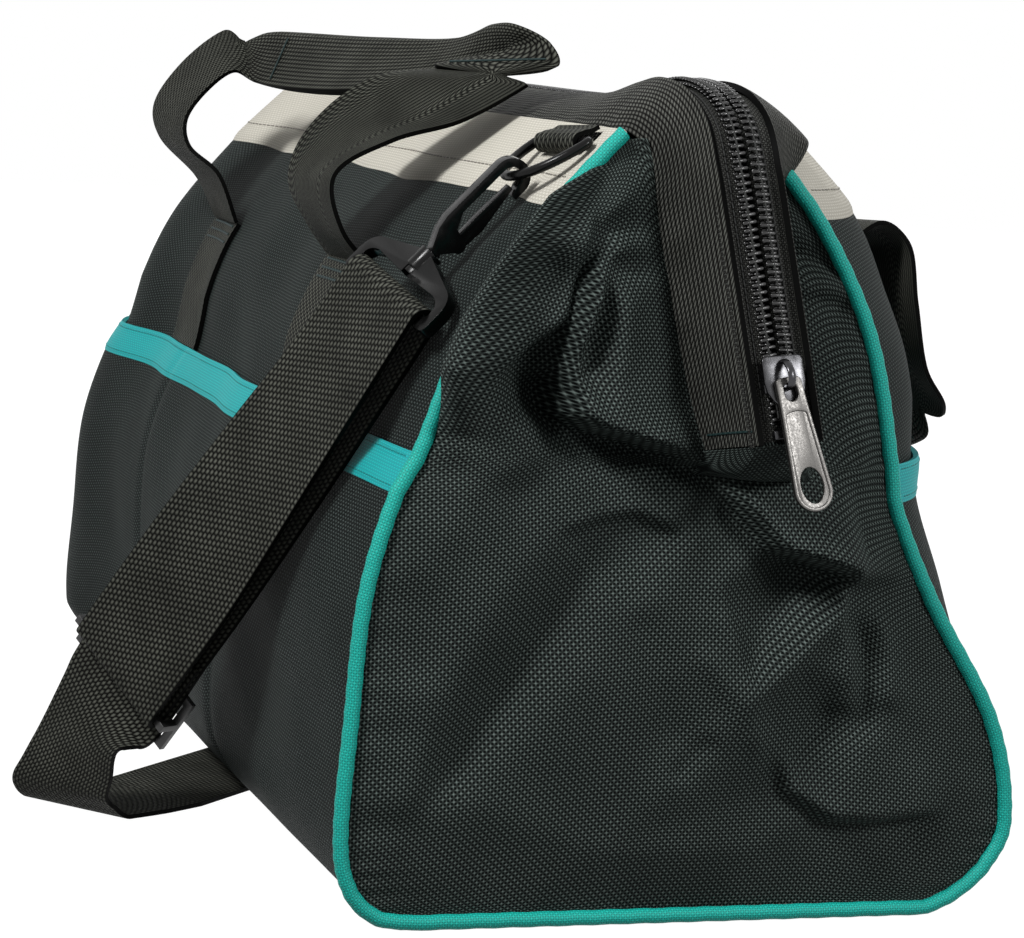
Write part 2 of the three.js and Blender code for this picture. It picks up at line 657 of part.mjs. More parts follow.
function endGrid(end) {
  const below = stops.filter((stop) => stop < slitFoot - 8);
  const levels = [...below, slitFoot, ...stops.filter((stop) => stop > slitFoot + 8 && stop < bandTop)];
  const rows = levels.map((level) => {
    const edges = { [front]: endEdge(end, front, level), [rear]: endEdge(end, rear, level) };
    const row = [];
    for (const side of [front, rear]) {
      const column = spread(0, 1, halfColumns).map((share) => {
        if (level < slitFoot) {
          const across = side === front ? 0.47 * share : 1 - 0.47 * share;
          const point = edges[front].clone().lerp(edges[rear], across);
          point.x += endSign[end] * endRelief(end, across, point.y, point.z);
          return point;
        }
        const root = rootPoint(end, side, level);
        root.y += side * (0.8 + 2.2 * THREE.MathUtils.smoothstep(level, rootTop - 8, rootTop + 6));
        const point = edges[side].clone().lerp(root, share);
        point.x += endSign[end] * endRelief(end, share, point.y, point.z);
        return point;
      });
      row.push(...(side === front ? column : column.reverse()));
    }
    return row;
  });
  const kept = (i, j) => j !== halfColumns || levels[i + 1] <= slitFoot;
  const turned = end === 'right' ? rows : rows.map((row) => [...row].reverse());
  return clothShell(turned, clothThickness, kept);
}

addPiece('right_end_panel', endGrid('right'), fabric);
addPiece('left_end_panel', endGrid('left'), fabric);

// The piping: a round bead round each end, from one top corner down, across the floor and up again.
function pipingRun(end) {
  const floorStops = [-60, 0, 60];
  const corner = (side, level) => ({ centre: seamPoint(end, side, level), inward: seamInward(end, side, level) });
  const [frontFoot, rearFoot] = [front, rear].map((side) => seamPoint(end, side, flatLevel));
  const places = [
    ...[...stops].reverse().map((level) => corner(front, level)),
    ...floorStops.map((y) => {
      const t = (y + baseHalfDepth) / (2 * baseHalfDepth);
      return { centre: vec(frontFoot.x, y, THREE.MathUtils.lerp(frontFoot.z, rearFoot.z, t)), inward: vec(0, 0, 1) };
    }),
    ...stops.map((level) => corner(rear, level)),
  ];
  const rings = places.map(({ centre, inward }) => spread(0, 2 * Math.PI, 6).slice(1).map((angle) => centre.clone()
    .addScaledVector(inward, pipingRadius * Math.cos(angle)).add(vec(pipingRadius * Math.sin(angle), 0, 0))));
  return loftRings(rings, true);
}

addPiece('right_piping', pipingRun('right'), teal);
addPiece('left_piping', pipingRun('left'), teal);

// The carry handles. Each leg is sewn flat on the panel up to a bar tack, where the free loop starts.

const legFoot = pocketTop + bindingHeight + seamGap;
const tackGap = 0.35;
const legLift = seamGap + 0.2 + strapThickness;

function sewnLeg(side, x) {
  const columns = spread(x - strapWidth / 2, x + strapWidth / 2, 4);
  if (side === rear) columns.reverse();
  const place = (level) => columns.map((at) => sidePointAt(side, at, level, panelFace(level) - legLift));
  return clothShell(levelsFrom(legFoot, bartackHeight).map(place), strapThickness);
}

for (const side of [front, rear]) {
  for (const [name, x] of [['left', -handleSpacing], ['right', handleSpacing]]) {
    addPiece(`${sideNames[side]}_handle_${name}_leg`, sewnLeg(side, x), webbing);
  }
}

// The line on which a handle swings, just above the bar tacks.
const tackPoint = (side, x) => sidePointAt(side, x, bartackHeight + tackGap, panelSink - legLift);

// Edges of the free webbing from the left tack to the right tack, as offsets from the tack line:
// [along the bag, away from it, up].
const frontLoop = {
  outer: [[-125, 0, 0], [-126, 9, 17], [-130, 26, 34], [-131, 29, 46], [-126, 20, 64], [-116, 3, 81],
    [-90, -9, 83], [0, -35, 84], [60, -52, 86], [96, -54, 92], [118, -56, 92], [132, -65, 86],
    [138, -67, 78], [132, -57, 69], [126, -34, 54], [124, -8, 45], [124, 13, 31], [125, 9, 12],
    [125, 0, 0]],
  inner: [[-75, 0, 0], [-77, 11, 21], [-84, 23, 32], [-88, 24, 42], [-92, 15, 55], [-94, 3, 64],
    [-86, -3, 61], [0, -18, 60], [56, -38, 66], [88, -54, 72], [99, -59, 77], [96, -50, 78],
    [91, -34, 74], [84, -10, 67], [78, 3, 57], [75, 15, 40], [74, 17, 26], [75, 9, 11],
    [75, 0, 0]],
};
const rearLoop = {
  outer: [[-125, 0, 0], [-126, 7, 16], [-127, 20, 26], [-128, 32, 18], [-128, 38, -6], [-127, 45, -32],
    [-120, 58, -48], [-100, 62, -62], [-60, 64, -74], [0, 66, -78], [60, 64, -74], [100, 62, -62],
    [120, 58, -48], [127, 45, -32], [128, 38, -6], [128, 32, 18], [127, 20, 26], [126, 7, 16],
    [125, 0, 0]],
  inner: [[-75, 0, 0], [-76, 7, 16], [-77, 20, 24], [-79, 31, 15], [-82, 36, -6], [-88, 40, -24],
    [-92, 44, -34], [-84, 48, -44], [-56, 50, -51], [0, 52, -54], [56, 50, -51], [84, 48, -44],
    [92, 44, -34], [88, 40, -24], [82, 36, -6], [79, 31, 15], [77, 20, 24], [76, 7, 16],
    [75, 0, 0]],
};

function handleLoop(side, loop) {
  const tacks = [-handleSpacing, handleSpacing].map((x) => tackPoint(side, x));
  const place = ([x, away, up], k, edge) => {
    const along = (x * handleSpacing) / 100;
    if (k === 0 || k === edge.length - 1) return tackPoint(side, along).add(vec(0, side * away, up));
    const share = THREE.MathUtils.clamp((along / handleSpacing + 1) / 2, 0, 1);
    return tacks[0].clone().lerp(tacks[1], share).add(vec(0, side * away, up)).setX(along);
  };
  const edges = [loop.outer.map(place), loop.inner.map(place)];
  if (side === front) edges.reverse();
  return strapBetween(...edges, strapThickness, 40);
}

addPiece('front_handle_loop', handleLoop(front, frontLoop), webbing);
addPiece('rear_handle_loop', handleLoop(rear, rearLoop), webbing);

// The strap hardware: D-ring on its tab, snap hook with a sprung gate, and swivel eye. It is laid out
// for the front right corner, and the rear left set is the same turned half round.

const square = (direction, to) => direction.clone().addScaledVector(to, -direction.dot(to)).normalize();
const frameOf = (x, y, z, origin) => new THREE.Matrix4().makeBasis(x, y, z).setPosition(origin);
const halfTurn = new THREE.Matrix4().makeRotationZ(Math.PI);

const ringX = halfLength - 51;
const ringLevel = bandTop - 7;
const wrapRadius = ringWireRadius + layerGap;
const ringSink = panelSink - wrapRadius - strapThickness - seamGap - 0.2;
const ringBarCentre = sidePointAt(front, ringX, ringLevel, ringSink);
const bandAlong = sidePointAt(front, ringX + 6, ringLevel, panelSink).sub(sidePointAt(front, ringX - 6, ringLevel, panelSink));
const ringDrop = vec(0.16, -0.83, -0.54).normalize();
const ringAlong = square(bandAlong, ringDrop);
const ringFrame = frameOf(ringAlong, ringDrop, ringAlong.clone().cross(ringDrop), ringBarCentre);

const hookAxis = vec(0.084, 0.661, 0.745).normalize();
const hookBend = ringBarCentre.clone().addScaledVector(ringDrop, ringDepth);
const swivel = hookBend.clone().addScaledVector(hookAxis, -hookReach);
const hookSide = square(ringAlong, hookAxis);
const hookOut = hookSide.clone().cross(hookAxis);
const hookFrame = frameOf(hookOut, hookAxis, hookSide.clone().negate(), swivel);
const eyeFrame = (across) => frameOf(across, hookAxis, across.clone().cross(hookAxis), swivel);
const frontEyeAcross = square(vec(0.9, 0.16, -0.36), hookAxis);
const rearEyeAcross = square(vec(0.94, -0.2, 0), hookAxis);

const gatePivot = vec(-3.9, 12.4, 0);

// The hook, seen from its side: x is away from the bag and y runs from the swivel to the bend.
function hookBody() {
  const inner = hookOpening / 2;
  const outer = inner + hookRail;
  const neck = collarHalfLength + 0.4;
  const shank = new THREE.Shape();
  shank.moveTo(-stemRadius, neck);
  shank.lineTo(stemRadius, neck);
  shank.lineTo(outer - 1, 12);
  shank.lineTo(outer, 17);
  shank.lineTo(outer, hookReach);
  shank.absarc(0, hookReach, outer, 0, Math.PI);
  shank.lineTo(-outer, hookReach - 4.5);
  shank.lineTo(-outer + 1.7, hookReach - 4.5);
  shank.lineTo(-inner, hookReach - 1);
  shank.absarc(0, hookReach, inner, Math.PI, 0, true);
  shank.lineTo(inner, 22);
  shank.lineTo(0.8, 16.5);
  shank.lineTo(-0.6, 9);
  shank.closePath();
  const cheek = new THREE.Shape();
  cheek.moveTo(-1.6, 6);
  cheek.lineTo(1, 8);
  cheek.lineTo(1.6, 16.4);
  cheek.lineTo(gatePivot.x, gatePivot.y + 2.8);
  cheek.absarc(gatePivot.x, gatePivot.y, 2.8, 0.5 * Math.PI, 1.4 * Math.PI);
  cheek.closePath();
  const cheekThickness = (hookThickness - gateThickness) / 2 - 0.3;
  const cheekPlace = (hookThickness - cheekThickness) / 2;
  const cheeks = [-1, 1].map((s) => plate(cheek, cheekThickness, 5).translate(0, 0, s * cheekPlace));
  const pin = new THREE.CylinderGeometry(gatePinRadius, gatePinRadius, hookThickness - 0.6, 12)
    .rotateX(Math.PI / 2).translate(gatePivot.x, gatePivot.y, 0);
  const stem = new THREE.CylinderGeometry(stemRadius, stemRadius, 2 * collarHalfLength + 3, 12);
  const head = new THREE.CylinderGeometry(stemRadius + 1.3, stemRadius + 1.3, 2, 12)
    .translate(0, -collarHalfLength - 1.5, 0);
  return joined(plate(shank, hookThickness, 7), ...cheeks, pin, stem, head);
}

function hookGate() {
  const tip = hookReach - 2.6;
  const lever = new THREE.Shape();
  lever.moveTo(gatePivot.x - 2.4, gatePivot.y);
  lever.absarc(gatePivot.x, gatePivot.y, 2.4, Math.PI, 2 * Math.PI);
  lever.lineTo(gatePivot.x + 2.4, gatePivot.y + 3);
  lever.lineTo(-1.2, gatePivot.y + 12);
  lever.lineTo(-1.6, tip);
  lever.lineTo(-3.7, tip);
  lever.lineTo(gatePivot.x - 2.9, gatePivot.y + 10);
  lever.closePath();
  const bore = new THREE.Path();
  bore.absarc(gatePivot.x, gatePivot.y, gatePinRadius + gatePinClearance, 0, 2 * Math.PI, true);
  lever.holes.push(bore);
  return plate(lever, gateThickness, 8);
}

// The eye: a frame for the strap under a collar that turns on the hook's stem.
function swivelEye() {
  const half = strapWidth / 2 + 1.5;
  const edge = half + eyeBar - 1;
  const low = -eyeDrop - eyeBar / 2;
  const frame = new THREE.Shape();
  frame.moveTo(3 - edge, low);
  frame.lineTo(edge - 3, low);
  frame.quadraticCurveTo(edge, low, edge, low + 3);
  frame.lineTo(edge, low + 8);
  frame.quadraticCurveTo(edge, -3.5, half - 4, -2.2);
  frame.lineTo(collarRadius - 1, 3);
  frame.lineTo(1 - collarRadius, 3);
  frame.lineTo(4 - half, -2.2);
  frame.quadraticCurveTo(-edge, -3.5, -edge, low + 8);
  frame.lineTo(-edge, low + 3);
  frame.quadraticCurveTo(-edge, low, 3 - edge, low);
  frame.closePath();
  const hole = new THREE.Path();
  hole.moveTo(-half, -eyeDrop + eyeBar / 2);
  hole.lineTo(-half, -12);
  hole.quadraticCurveTo(-half, -8, 6 - half, -7.2);
  hole.lineTo(-collarRadius, -7.8);
  hole.lineTo(collarRadius, -7.8);
  hole.lineTo(half - 6, -7.2);
  hole.quadraticCurveTo(half, -8, half, -12);
  hole.lineTo(half, -eyeDrop + eyeBar / 2);
  hole.closePath();
  frame.holes.push(hole);
  const collar = new THREE.CylinderGeometry(collarRadius, collarRadius, 2 * collarHalfLength, 14);
  const stemRoom = new THREE.CylinderGeometry(stemRadius + stemClearance, stemRadius + stemClearance, 30, 14);
  const headRadius = stemRadius + 1.3 + stemClearance;
  const headRoom = new THREE.CylinderGeometry(headRadius, headRadius, 8, 14).translate(0, -collarHalfLength - 4.2, 0);
  return cut(joined(plate(frame, eyeBar, 6), collar), stemRoom, headRoom);
}

// The ring is bent from wire, with its ends meeting in the middle of the straight bar.
class RingPath extends THREE.Curve {
  getPoint(t, target = new THREE.Vector3()) {
    const bow = Math.PI * Math.sqrt((ringHalfWidth ** 2 + ringDepth ** 2) / 2);
    const meeting = 0.25;
    const along = meeting + t * (2 * ringHalfWidth + bow - 2 * meeting);
    if (along < ringHalfWidth) return target.set(along, 0, 0);
    if (along > ringHalfWidth + bow) return target.set(along - bow - 2 * ringHalfWidth, 0, 0);
    const angle = (Math.PI * (along - ringHalfWidth)) / bow;
    return target.set(ringHalfWidth * Math.cos(angle), ringDepth * Math.sin(angle), 0);
  }
}

// The tab: webbing folded round the ring's bar, with both ends sewn flat on the band.
function ringTab() {
  const bandUp = sidePointAt(front, ringX, ringLevel + 5, panelSink).sub(sidePointAt(front, ringX, ringLevel - 5, panelSink));
  const up = square(bandUp, ringAlong);
  const out = ringAlong.clone().cross(up);
  const fold = spread(0, Math.PI, 8).map((angle) => [-wrapRadius * Math.sin(angle), -wrapRadius * Math.cos(angle)]);
  const path = [[6.8, -wrapRadius], [2, -wrapRadius], ...fold, [3, 0.2 * wrapRadius], [6.8, -wrapRadius + layerGap]];
  const rows = path.map(([rise, lift]) => [1, -1].map((s) => ringBarCentre.clone()
    .addScaledVector(ringAlong, (s * tabWidth) / 2).addScaledVector(up, rise).addScaledVector(out, lift)));
  return clothShell(rows, strapThickness);
}

const sets = [['front', new THREE.Matrix4(), frontEyeAcross], ['rear', halfTurn, rearEyeAcross]];
for (const [name, turn, eyeAcross] of sets) {
  const add = (part, geometry, frame, material) => {
    addPiece(`${name}_${part}`, geometry.applyMatrix4(frame).applyMatrix4(turn), material);
  };
  add('hook', hookBody(), hookFrame, blackMetal);
  add('hook_gate', hookGate(), hookFrame, blackMetal);
  add('hook_eye', swivelEye(), eyeFrame(eyeAcross), blackMetal);
  add('dring', roundBar(new RingPath(), ringWireRadius, 6, 34), ringFrame, blackMetal);
  add('dring_tab', ringTab(), new THREE.Matrix4(), webbing);
}

// The shoulder strap. Its sewn end wraps the middle bar of the adjuster, the strap goes up through
// the front eye, down through the adjuster, over the floor, under the bag and up to the rear eye.

const eyeWrap = Math.SQRT1_2 * eyeBar + layerGap;
const eyeBarCentre = swivel.clone().addScaledVector(hookAxis, -eyeDrop);
const strapFloor = -pipingRadius + flatSeamZ + 0.1;
const adjusterCentre = vec(eyeBarCentre.x - 85, eyeBarCentre.y - 70, 58);
const glideWrap = Math.SQRT1_2 * glideThickness + layerGap;
const glideLift = eyeWrap - glideWrap;
const behindLift = glideLift - glideWrap - strapThickness - 2 * layerGap;

// Rows of a strap hanging from an eye: a distance down, a lift away from the bag.
function hangingRow(origin, down, out, across, drop, lift) {
  const centre = origin.clone().addScaledVector(down, drop).addScaledVector(out, lift);
  return [-1, 1].map((s) => centre.clone().addScaledVector(across, (s * strapWidth) / 2));
}

// The front strap leaves its eye square to the bar and turns a little on the way to the adjuster.
const eyeLead = 10;
const leadDown = square(adjusterCentre.clone().sub(eyeBarCentre), frontEyeAcross);
const leadEnd = eyeBarCentre.clone().addScaledVector(leadDown, eyeLead);
const strapDown = adjusterCentre.clone().sub(leadEnd).normalize();
const adjusterDrop = eyeLead + adjusterCentre.distanceTo(leadEnd);
const adjusterAcross = square(vec(0.63, 0.42, -0.65), strapDown);
const adjusterOut = adjusterAcross.clone().cross(strapDown).negate();

function frontRow(drop, lift) {
  const turn = THREE.MathUtils.smoothstep(drop, eyeLead, adjusterDrop - 28);
  const across = square(frontEyeAcross.clone().lerp(adjusterAcross, turn), drop > eyeLead ? strapDown : leadDown);
  if (drop <= eyeLead) {
    return hangingRow(eyeBarCentre, leadDown, across.clone().cross(leadDown).negate(), across, drop, lift);
  }
  return hangingRow(leadEnd, strapDown, across.clone().cross(strapDown).negate(), across, drop - eyeLead, lift);
}

const flatRow = (x, y, z, angle) => [-1, 1].map((s) => vec(x, y, z)
  .add(vec(Math.cos(angle), Math.sin(angle), 0).multiplyScalar((s * strapWidth) / 2)));

function smoothRows(rows, steps, lowest) {
  const edges = [0, 1].map((k) => new THREE.CatmullRomCurve3(rows.map((row) => row[k]), false, 'centripetal'));
  const aboveFloor = (point) => vec(point.x, point.y, Math.max(point.z, lowest));
  return spread(0, 1, steps).map((t) => edges.map((edge) => aboveFloor(edge.getPoint(t))));
}

const floorStart = vec(adjusterCentre.x - 56, adjusterCentre.y + 25, strapFloor);
const floorEnd = vec(-eyeBarCentre.x - 20, 152, strapFloor);
const underHeading = floorEnd.clone().sub(floorStart).normalize();
const underAngle = Math.atan2(-underHeading.x, underHeading.y);

function frontRun() {
  const turn = (drop, lift, radius, from, to, steps) => spread(from, to, steps)
    .map((angle) => frontRow(drop + radius * Math.cos(angle), lift + radius * Math.sin(angle)));
  const fromAdjuster = ([x, y, z, turned]) => flatRow(adjusterCentre.x + x, adjusterCentre.y + y, z, underAngle * turned);
  const last = frontRow(adjusterDrop + 14, behindLift);
  const landing = [[-16, -13, 30, 0.6], [-24, -16, 15, 0.75], [-30, -17, 6, 0.85], [-33, -14, 1.2, 0.95],
    [-37, -8, strapFloor, 1], [-45, 8, strapFloor, 1]];
  const floorRows = smoothRows([last, ...landing.map(fromAdjuster), flatRow(...floorStart.toArray(), underAngle)], 24, strapFloor);
  return [
    frontRow(adjusterDrop - 26, glideLift - glideWrap),
    ...turn(adjusterDrop, glideLift, glideWrap, -Math.PI / 2, Math.PI / 2, 6),
    ...[0.7, 0.45, 0.2].map((share) => frontRow(adjusterDrop * share, eyeWrap)),
    ...turn(0, 0, eyeWrap, Math.PI / 2, 1.5 * Math.PI, 8),
    ...[0.2, 0.45, 0.7].map((share) => frontRow(adjusterDrop * share, THREE.MathUtils.lerp(-eyeWrap, behindLift, share))),
    frontRow(adjusterDrop - 30, behindLift),
    ...floorRows,
  ];
}

addPiece('shoulder_strap_front_run', clothShell(frontRun(), -strapThickness), webbing);

const rearEyeBar = eyeBarCentre.clone().applyMatrix4(halfTurn);
const rearAcross = rearEyeAcross.clone().applyMatrix4(halfTurn).negate();
const rearDown = square(vec(-0.05, 0.29, -1), rearAcross);
const rearOut = rearAcross.clone().cross(rearDown);
const rearRow = (drop, lift) => hangingRow(rearEyeBar, rearDown, rearOut, rearAcross, drop, lift);

const underEnd = vec(floorEnd.x, floorEnd.y - 22, strapFloor);

function rearRun() {
  const wrap = spread(-Math.PI / 2, -1.5 * Math.PI, 8)
    .map((angle) => rearRow(eyeWrap * Math.cos(angle), eyeWrap * Math.sin(angle)));
  const hang = [rearRow(44, 0.4), rearRow(100, 0)];
  const layTop = strapFloor + strapThickness + 0.1;
  const landing = [[3, 19, 62, 0.5], [4, 29, 34, 0.7], [2, 35, 16, 0.85], [-2, 36, 6, 0.95], [-3, 31, 1.6, 1], [-1, 24, layTop, 1]];
  const ground = underEnd.clone().addScaledVector(underHeading, layerGap).setZ(0);
  const turned = landing.map(([x, y, z, share]) => flatRow(ground.x + x, ground.y + y, z, underAngle * share));
  return [rearRow(40, -layerGap / 2), rearRow(10, -eyeWrap * 0.8), ...wrap, rearRow(10, eyeWrap * 0.8),
    ...smoothRows([...hang, ...turned, flatRow(ground.x, ground.y, layTop, underAngle)], 24, layTop)];
}

const underRows = smoothRows([floorStart, underEnd].map((point) => flatRow(...point.toArray(), underAngle)), 6, strapFloor);
addPiece('shoulder_strap_base_run', clothShell(underRows, -strapThickness), webbing);
addPiece('shoulder_strap_rear_run', clothShell(rearRun(), -strapThickness), webbing);

// The adjuster: a frame behind the strap with a bridge in front that holds the sewn end.
function adjuster() {
  const half = strapWidth / 2 + 1.2;
  const outer = half + glideBar;
  const back = behindLift - strapThickness - layerGap;
  const frame = new THREE.Shape();
  frame.moveTo(-outer, -12);
  frame.lineTo(outer, -12);
  frame.lineTo(outer, 12);
  frame.lineTo(-outer, 12);
  frame.closePath();
  const hole = new THREE.Path();
  hole.moveTo(-half, -12 + glideBar);
  hole.lineTo(-half, 12 - glideBar);
  hole.lineTo(half, 12 - glideBar);
  hole.lineTo(half, -12 + glideBar);
  hole.closePath();
  frame.holes.push(hole);
  const top = glideLift + glideThickness / 2;
  const legs = [-1, 1].map((s) => new THREE.BoxGeometry(glideBar, glideBar, top - back + 0.4)
    .translate(s * (half + glideBar / 2), 0, (top + back - 0.4) / 2));
  const bridge = new THREE.BoxGeometry(2 * outer, glideThickness, glideThickness).translate(0, 0, glideLift);
  return joined(plate(frame, glideThickness).translate(0, 0, back - glideThickness / 2), ...legs, bridge);
}

const adjusterFrame = frameOf(adjusterAcross, strapDown.clone().negate(), adjusterOut, adjusterCentre);
addPiece('strap_adjuster', adjuster().applyMatrix4(adjusterFrame), plastic);

export default bag;
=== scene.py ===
import math

import bpy
import numpy as np
from mathutils import Matrix, Vector, geometry
from mathutils.bvhtree import BVHTree


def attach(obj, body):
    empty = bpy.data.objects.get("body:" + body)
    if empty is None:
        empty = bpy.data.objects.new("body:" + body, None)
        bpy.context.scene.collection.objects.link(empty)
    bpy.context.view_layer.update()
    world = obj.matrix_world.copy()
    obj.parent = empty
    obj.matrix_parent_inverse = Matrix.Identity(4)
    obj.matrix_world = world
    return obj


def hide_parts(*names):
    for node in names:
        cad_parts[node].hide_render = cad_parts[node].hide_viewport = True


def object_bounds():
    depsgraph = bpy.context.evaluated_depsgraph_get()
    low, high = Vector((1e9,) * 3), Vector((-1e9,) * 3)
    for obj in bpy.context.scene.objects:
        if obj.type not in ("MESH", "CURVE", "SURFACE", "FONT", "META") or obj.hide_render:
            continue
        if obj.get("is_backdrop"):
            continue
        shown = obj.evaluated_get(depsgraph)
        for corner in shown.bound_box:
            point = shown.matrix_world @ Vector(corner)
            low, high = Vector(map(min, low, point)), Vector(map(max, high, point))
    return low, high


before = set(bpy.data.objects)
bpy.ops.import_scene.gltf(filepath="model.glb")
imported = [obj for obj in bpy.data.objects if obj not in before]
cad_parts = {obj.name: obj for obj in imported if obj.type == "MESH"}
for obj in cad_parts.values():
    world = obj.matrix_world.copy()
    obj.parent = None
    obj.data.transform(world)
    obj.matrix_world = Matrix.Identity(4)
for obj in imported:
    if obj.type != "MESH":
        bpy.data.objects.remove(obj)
cad_box = [list(corner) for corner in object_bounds()]
bpy.ops.object.select_all(action="DESELECT")

# The camera looks at the zip end from a little in front of it, low and close, with a slight tilt to
# one side, as the photographer held it.
azimuth, elevation, roll = (math.radians(angle) for angle in (71.3, 7.65, 4.01))


def linked(name, data):
    """A new object of some data, in the scene."""
    item = bpy.data.objects.new(name, data)
    bpy.context.scene.collection.objects.link(item)
    return item


forward = Vector((
    -math.sin(azimuth) * math.cos(elevation), math.cos(azimuth) * math.cos(elevation), -math.sin(elevation)))
level_right = Vector((math.cos(azimuth), math.sin(azimuth), 0))
level_up = level_right.cross(forward)
camera_right = level_right * math.cos(roll) + level_up * math.sin(roll)
camera_up = level_up * math.cos(roll) - level_right * math.sin(roll)
camera_data = bpy.data.cameras.new("camera")
camera_data.sensor_width = 36
camera_data.lens = 110.4
camera = linked("camera", camera_data)
camera.matrix_world = Matrix((camera_right, camera_up, -forward)).transposed().to_4x4()
camera.matrix_world.translation = (1.26, -0.415, 0.302)
bpy.context.scene.camera = camera
bpy.context.scene.view_settings.view_transform = "Standard"

# A pale studio: a white floor that keeps the shadow, white all round for the camera and for what
# shines, and three soft lamps at a plain level.
floor_height = -0.0040
world = bpy.data.worlds.new("studio")
world.use_nodes = True
bpy.context.scene.world = world


def node_maker(tree):
    """Returns a function that adds a node with its inputs and settings, and gives its first output."""

    def add(kind, *inputs, output=0, **settings):
        node = tree.nodes.new(kind)
        for key, value in settings.items():
            setattr(node, key, value)
        for socket, value in zip(node.inputs, inputs):
            if isinstance(value, bpy.types.NodeSocket):
                tree.links.new(value, socket)
            elif value is not None:
                socket.default_value = value
        return node.outputs[output]

    return add


def seen_share(tree):
    """1 for the rays that see the background: from the camera, a shine or something clear."""
    add = node_maker(tree)
    rays = tree.nodes.new("ShaderNodeLightPath").outputs
    seen = add("ShaderNodeMath", rays["Is Camera Ray"], rays["Is Glossy Ray"], operation="MAXIMUM")
    return add("ShaderNodeMath", seen, rays["Is Transmission Ray"], operation="MAXIMUM")


def finish(name, colour, roughness, metallic=0.0, specular=0.5):
    """A plain finish, and the function that adds nodes to it."""
    material = bpy.data.materials.new(name)
    material.use_nodes = True
    shader = material.node_tree.nodes["Principled BSDF"]
    shader.inputs["Base Color"].default_value = (*colour, 1)
    shader.inputs["Roughness"].default_value = roughness
    shader.inputs["Metallic"].default_value = metallic
    shader.inputs["Specular IOR Level"].default_value = specular
    return material, shader, node_maker(material.node_tree)


sky_light = 0.25
add = node_maker(world.node_tree)
sky_strength = add("ShaderNodeMapRange", seen_share(world.node_tree), 0.0, 1.0, sky_light, 1.0)
sky = world.node_tree.nodes["Background"]
sky.inputs["Color"].default_value = (1, 1, 1, 1)
world.node_tree.links.new(sky_strength, sky.inputs["Strength"])

for name, place, target, size, power in [
    ("key_lamp", (0.7, -1.15, 1.35), (0.1, 0, 0.15), 0.4, 27),
    ("side_lamp", (1.45, 0.75, 0.95), (0.2, 0, 0.15), 0.4, 12),
    ("back_lamp", (-1.2, 0.9, 1.0), (0, 0, 0.15), 0.9, 4),
]:
    lamp_data = bpy.data.lights.new(name, "AREA")
    lamp_data.size = size
    lamp_data.energy = power
    lamp = linked(name, lamp_data)
    lamp.location = place
    lamp.rotation_euler = (Vector(target) - Vector(place)).to_track_quat("-Z", "Y").to_euler()

bpy.ops.mesh.primitive_plane_add(size=9, location=(0, 0, floor_height))
floor = bpy.context.object
floor.name = "floor"
floor_finish, shader, add = finish("floor_white", (0.12, 0.12, 0.12), 0.9, specular=0.1)
shader.inputs["Emission Color"].default_value = (1, 1, 1, 1)
floor_finish.node_tree.links.new(seen_share(floor_finish.node_tree), shader.inputs["Emission Strength"])
floor.data.materials.append(floor_finish)
floor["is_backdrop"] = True

# The sides of the bag: heavy coated polyester in a coarse plain weave, sewn to the piping round both
# ends. Sizes are in millimetres, and a seam is followed by its level: the height above the floor, and
# below 28 the place round the bottom corner.
mm = 0.001
half_length = 250
band_top = 274
base_half_depth = 98
piping_radius = 2.75
panel_sink = 0.75
tuck_in = 1.6                # how far inside the seam line the cloth runs in under the piping
seam_levels = [-24, -12, 0, 28, 70, 113, 147, 162, 197, 220, 249, 274, 280]
regular_seam = (
    [98, 111, 120.5, 125.5, 124, 121, 112, 104, 91, 79, 57, 34, 28.5],
    [-1.1, 1, 9.5, 28, 70, 113, 147, 162, 197, 220, 249, 274, 279])
pinched_seam = (
    [98, 109, 120, 127.5, 119, 92.5, 76, 73.5, 66.5, 58, 41, 20, 17],
    [0.4, 5.5, 15, 33, 70, 113, 147, 162, 197, 220, 249, 274, 279])
belly_shares = [0, 0.05, 0.12, 0.33, 0.6, 0.7, 0.7, 0.76, 0.93, 0.97, 0.75, 0.42, 0.3]
belly_depth, puff_depth, far_puff_depth = 15, 30, 12
puff_shares = [0, 0, 0, 0, 0, 0, 0, 0.3, 0.45, 0.5, 0.85, 0.85, 0.8]
front, rear = -1, 1


def smooth(levels, values, at):
    """A smooth value through a table."""
    levels, values = np.array(levels, float), np.array(values, float)
    slopes = np.empty_like(values)
    slopes[1:-1] = (values[2:] - values[:-2]) / (levels[2:] - levels[:-2])
    slopes[[0, -1]] = (values[[1, -1]] - values[[0, -2]]) / (levels[[1, -1]] - levels[[0, -2]])
    at = np.asarray(at, float)
    k = np.clip(np.searchsorted(levels, at) - 1, 0, len(levels) - 2)
    span = levels[k + 1] - levels[k]
    t = (at - levels[k]) / span
    return (values[k] * (2 * t**3 - 3 * t**2 + 1) + slopes[k] * span * (t**3 - 2 * t**2 + t)
            + values[k + 1] * (3 * t**2 - 2 * t**3) + slopes[k + 1] * span * (t**3 - t**2))


def end_reach(z):
    """How far the end seams lie from the middle at a height."""
    return half_length - 22 * (np.maximum(z, 0) / band_top) ** 1.8


def seam_point(end, side, level):
    """Points of a seam. end is 1 at the zip pull's end and -1 at the other."""
    depths, heights = pinched_seam if (end == 1 and side == rear) else regular_seam
    y = side * smooth(seam_levels, depths, level)
    z = smooth(seam_levels, heights, level)
    return np.stack([end * end_reach(z), y, z], -1)


def seam_inward(end, side, level):
    """Directions from a seam into the bag, in the plane of the end."""
    level = np.asarray(level, float)
    along = (seam_point(end, side, level + 0.5) - seam_point(end, side, level - 0.5))[..., 1:]
    along /= np.linalg.norm(along, axis=-1, keepdims=True)
    turned = np.stack([along[..., 1], -along[..., 0]], -1) * (1 if side == front else -1)
    return np.concatenate([np.zeros_like(turned[..., :1]), turned], -1)


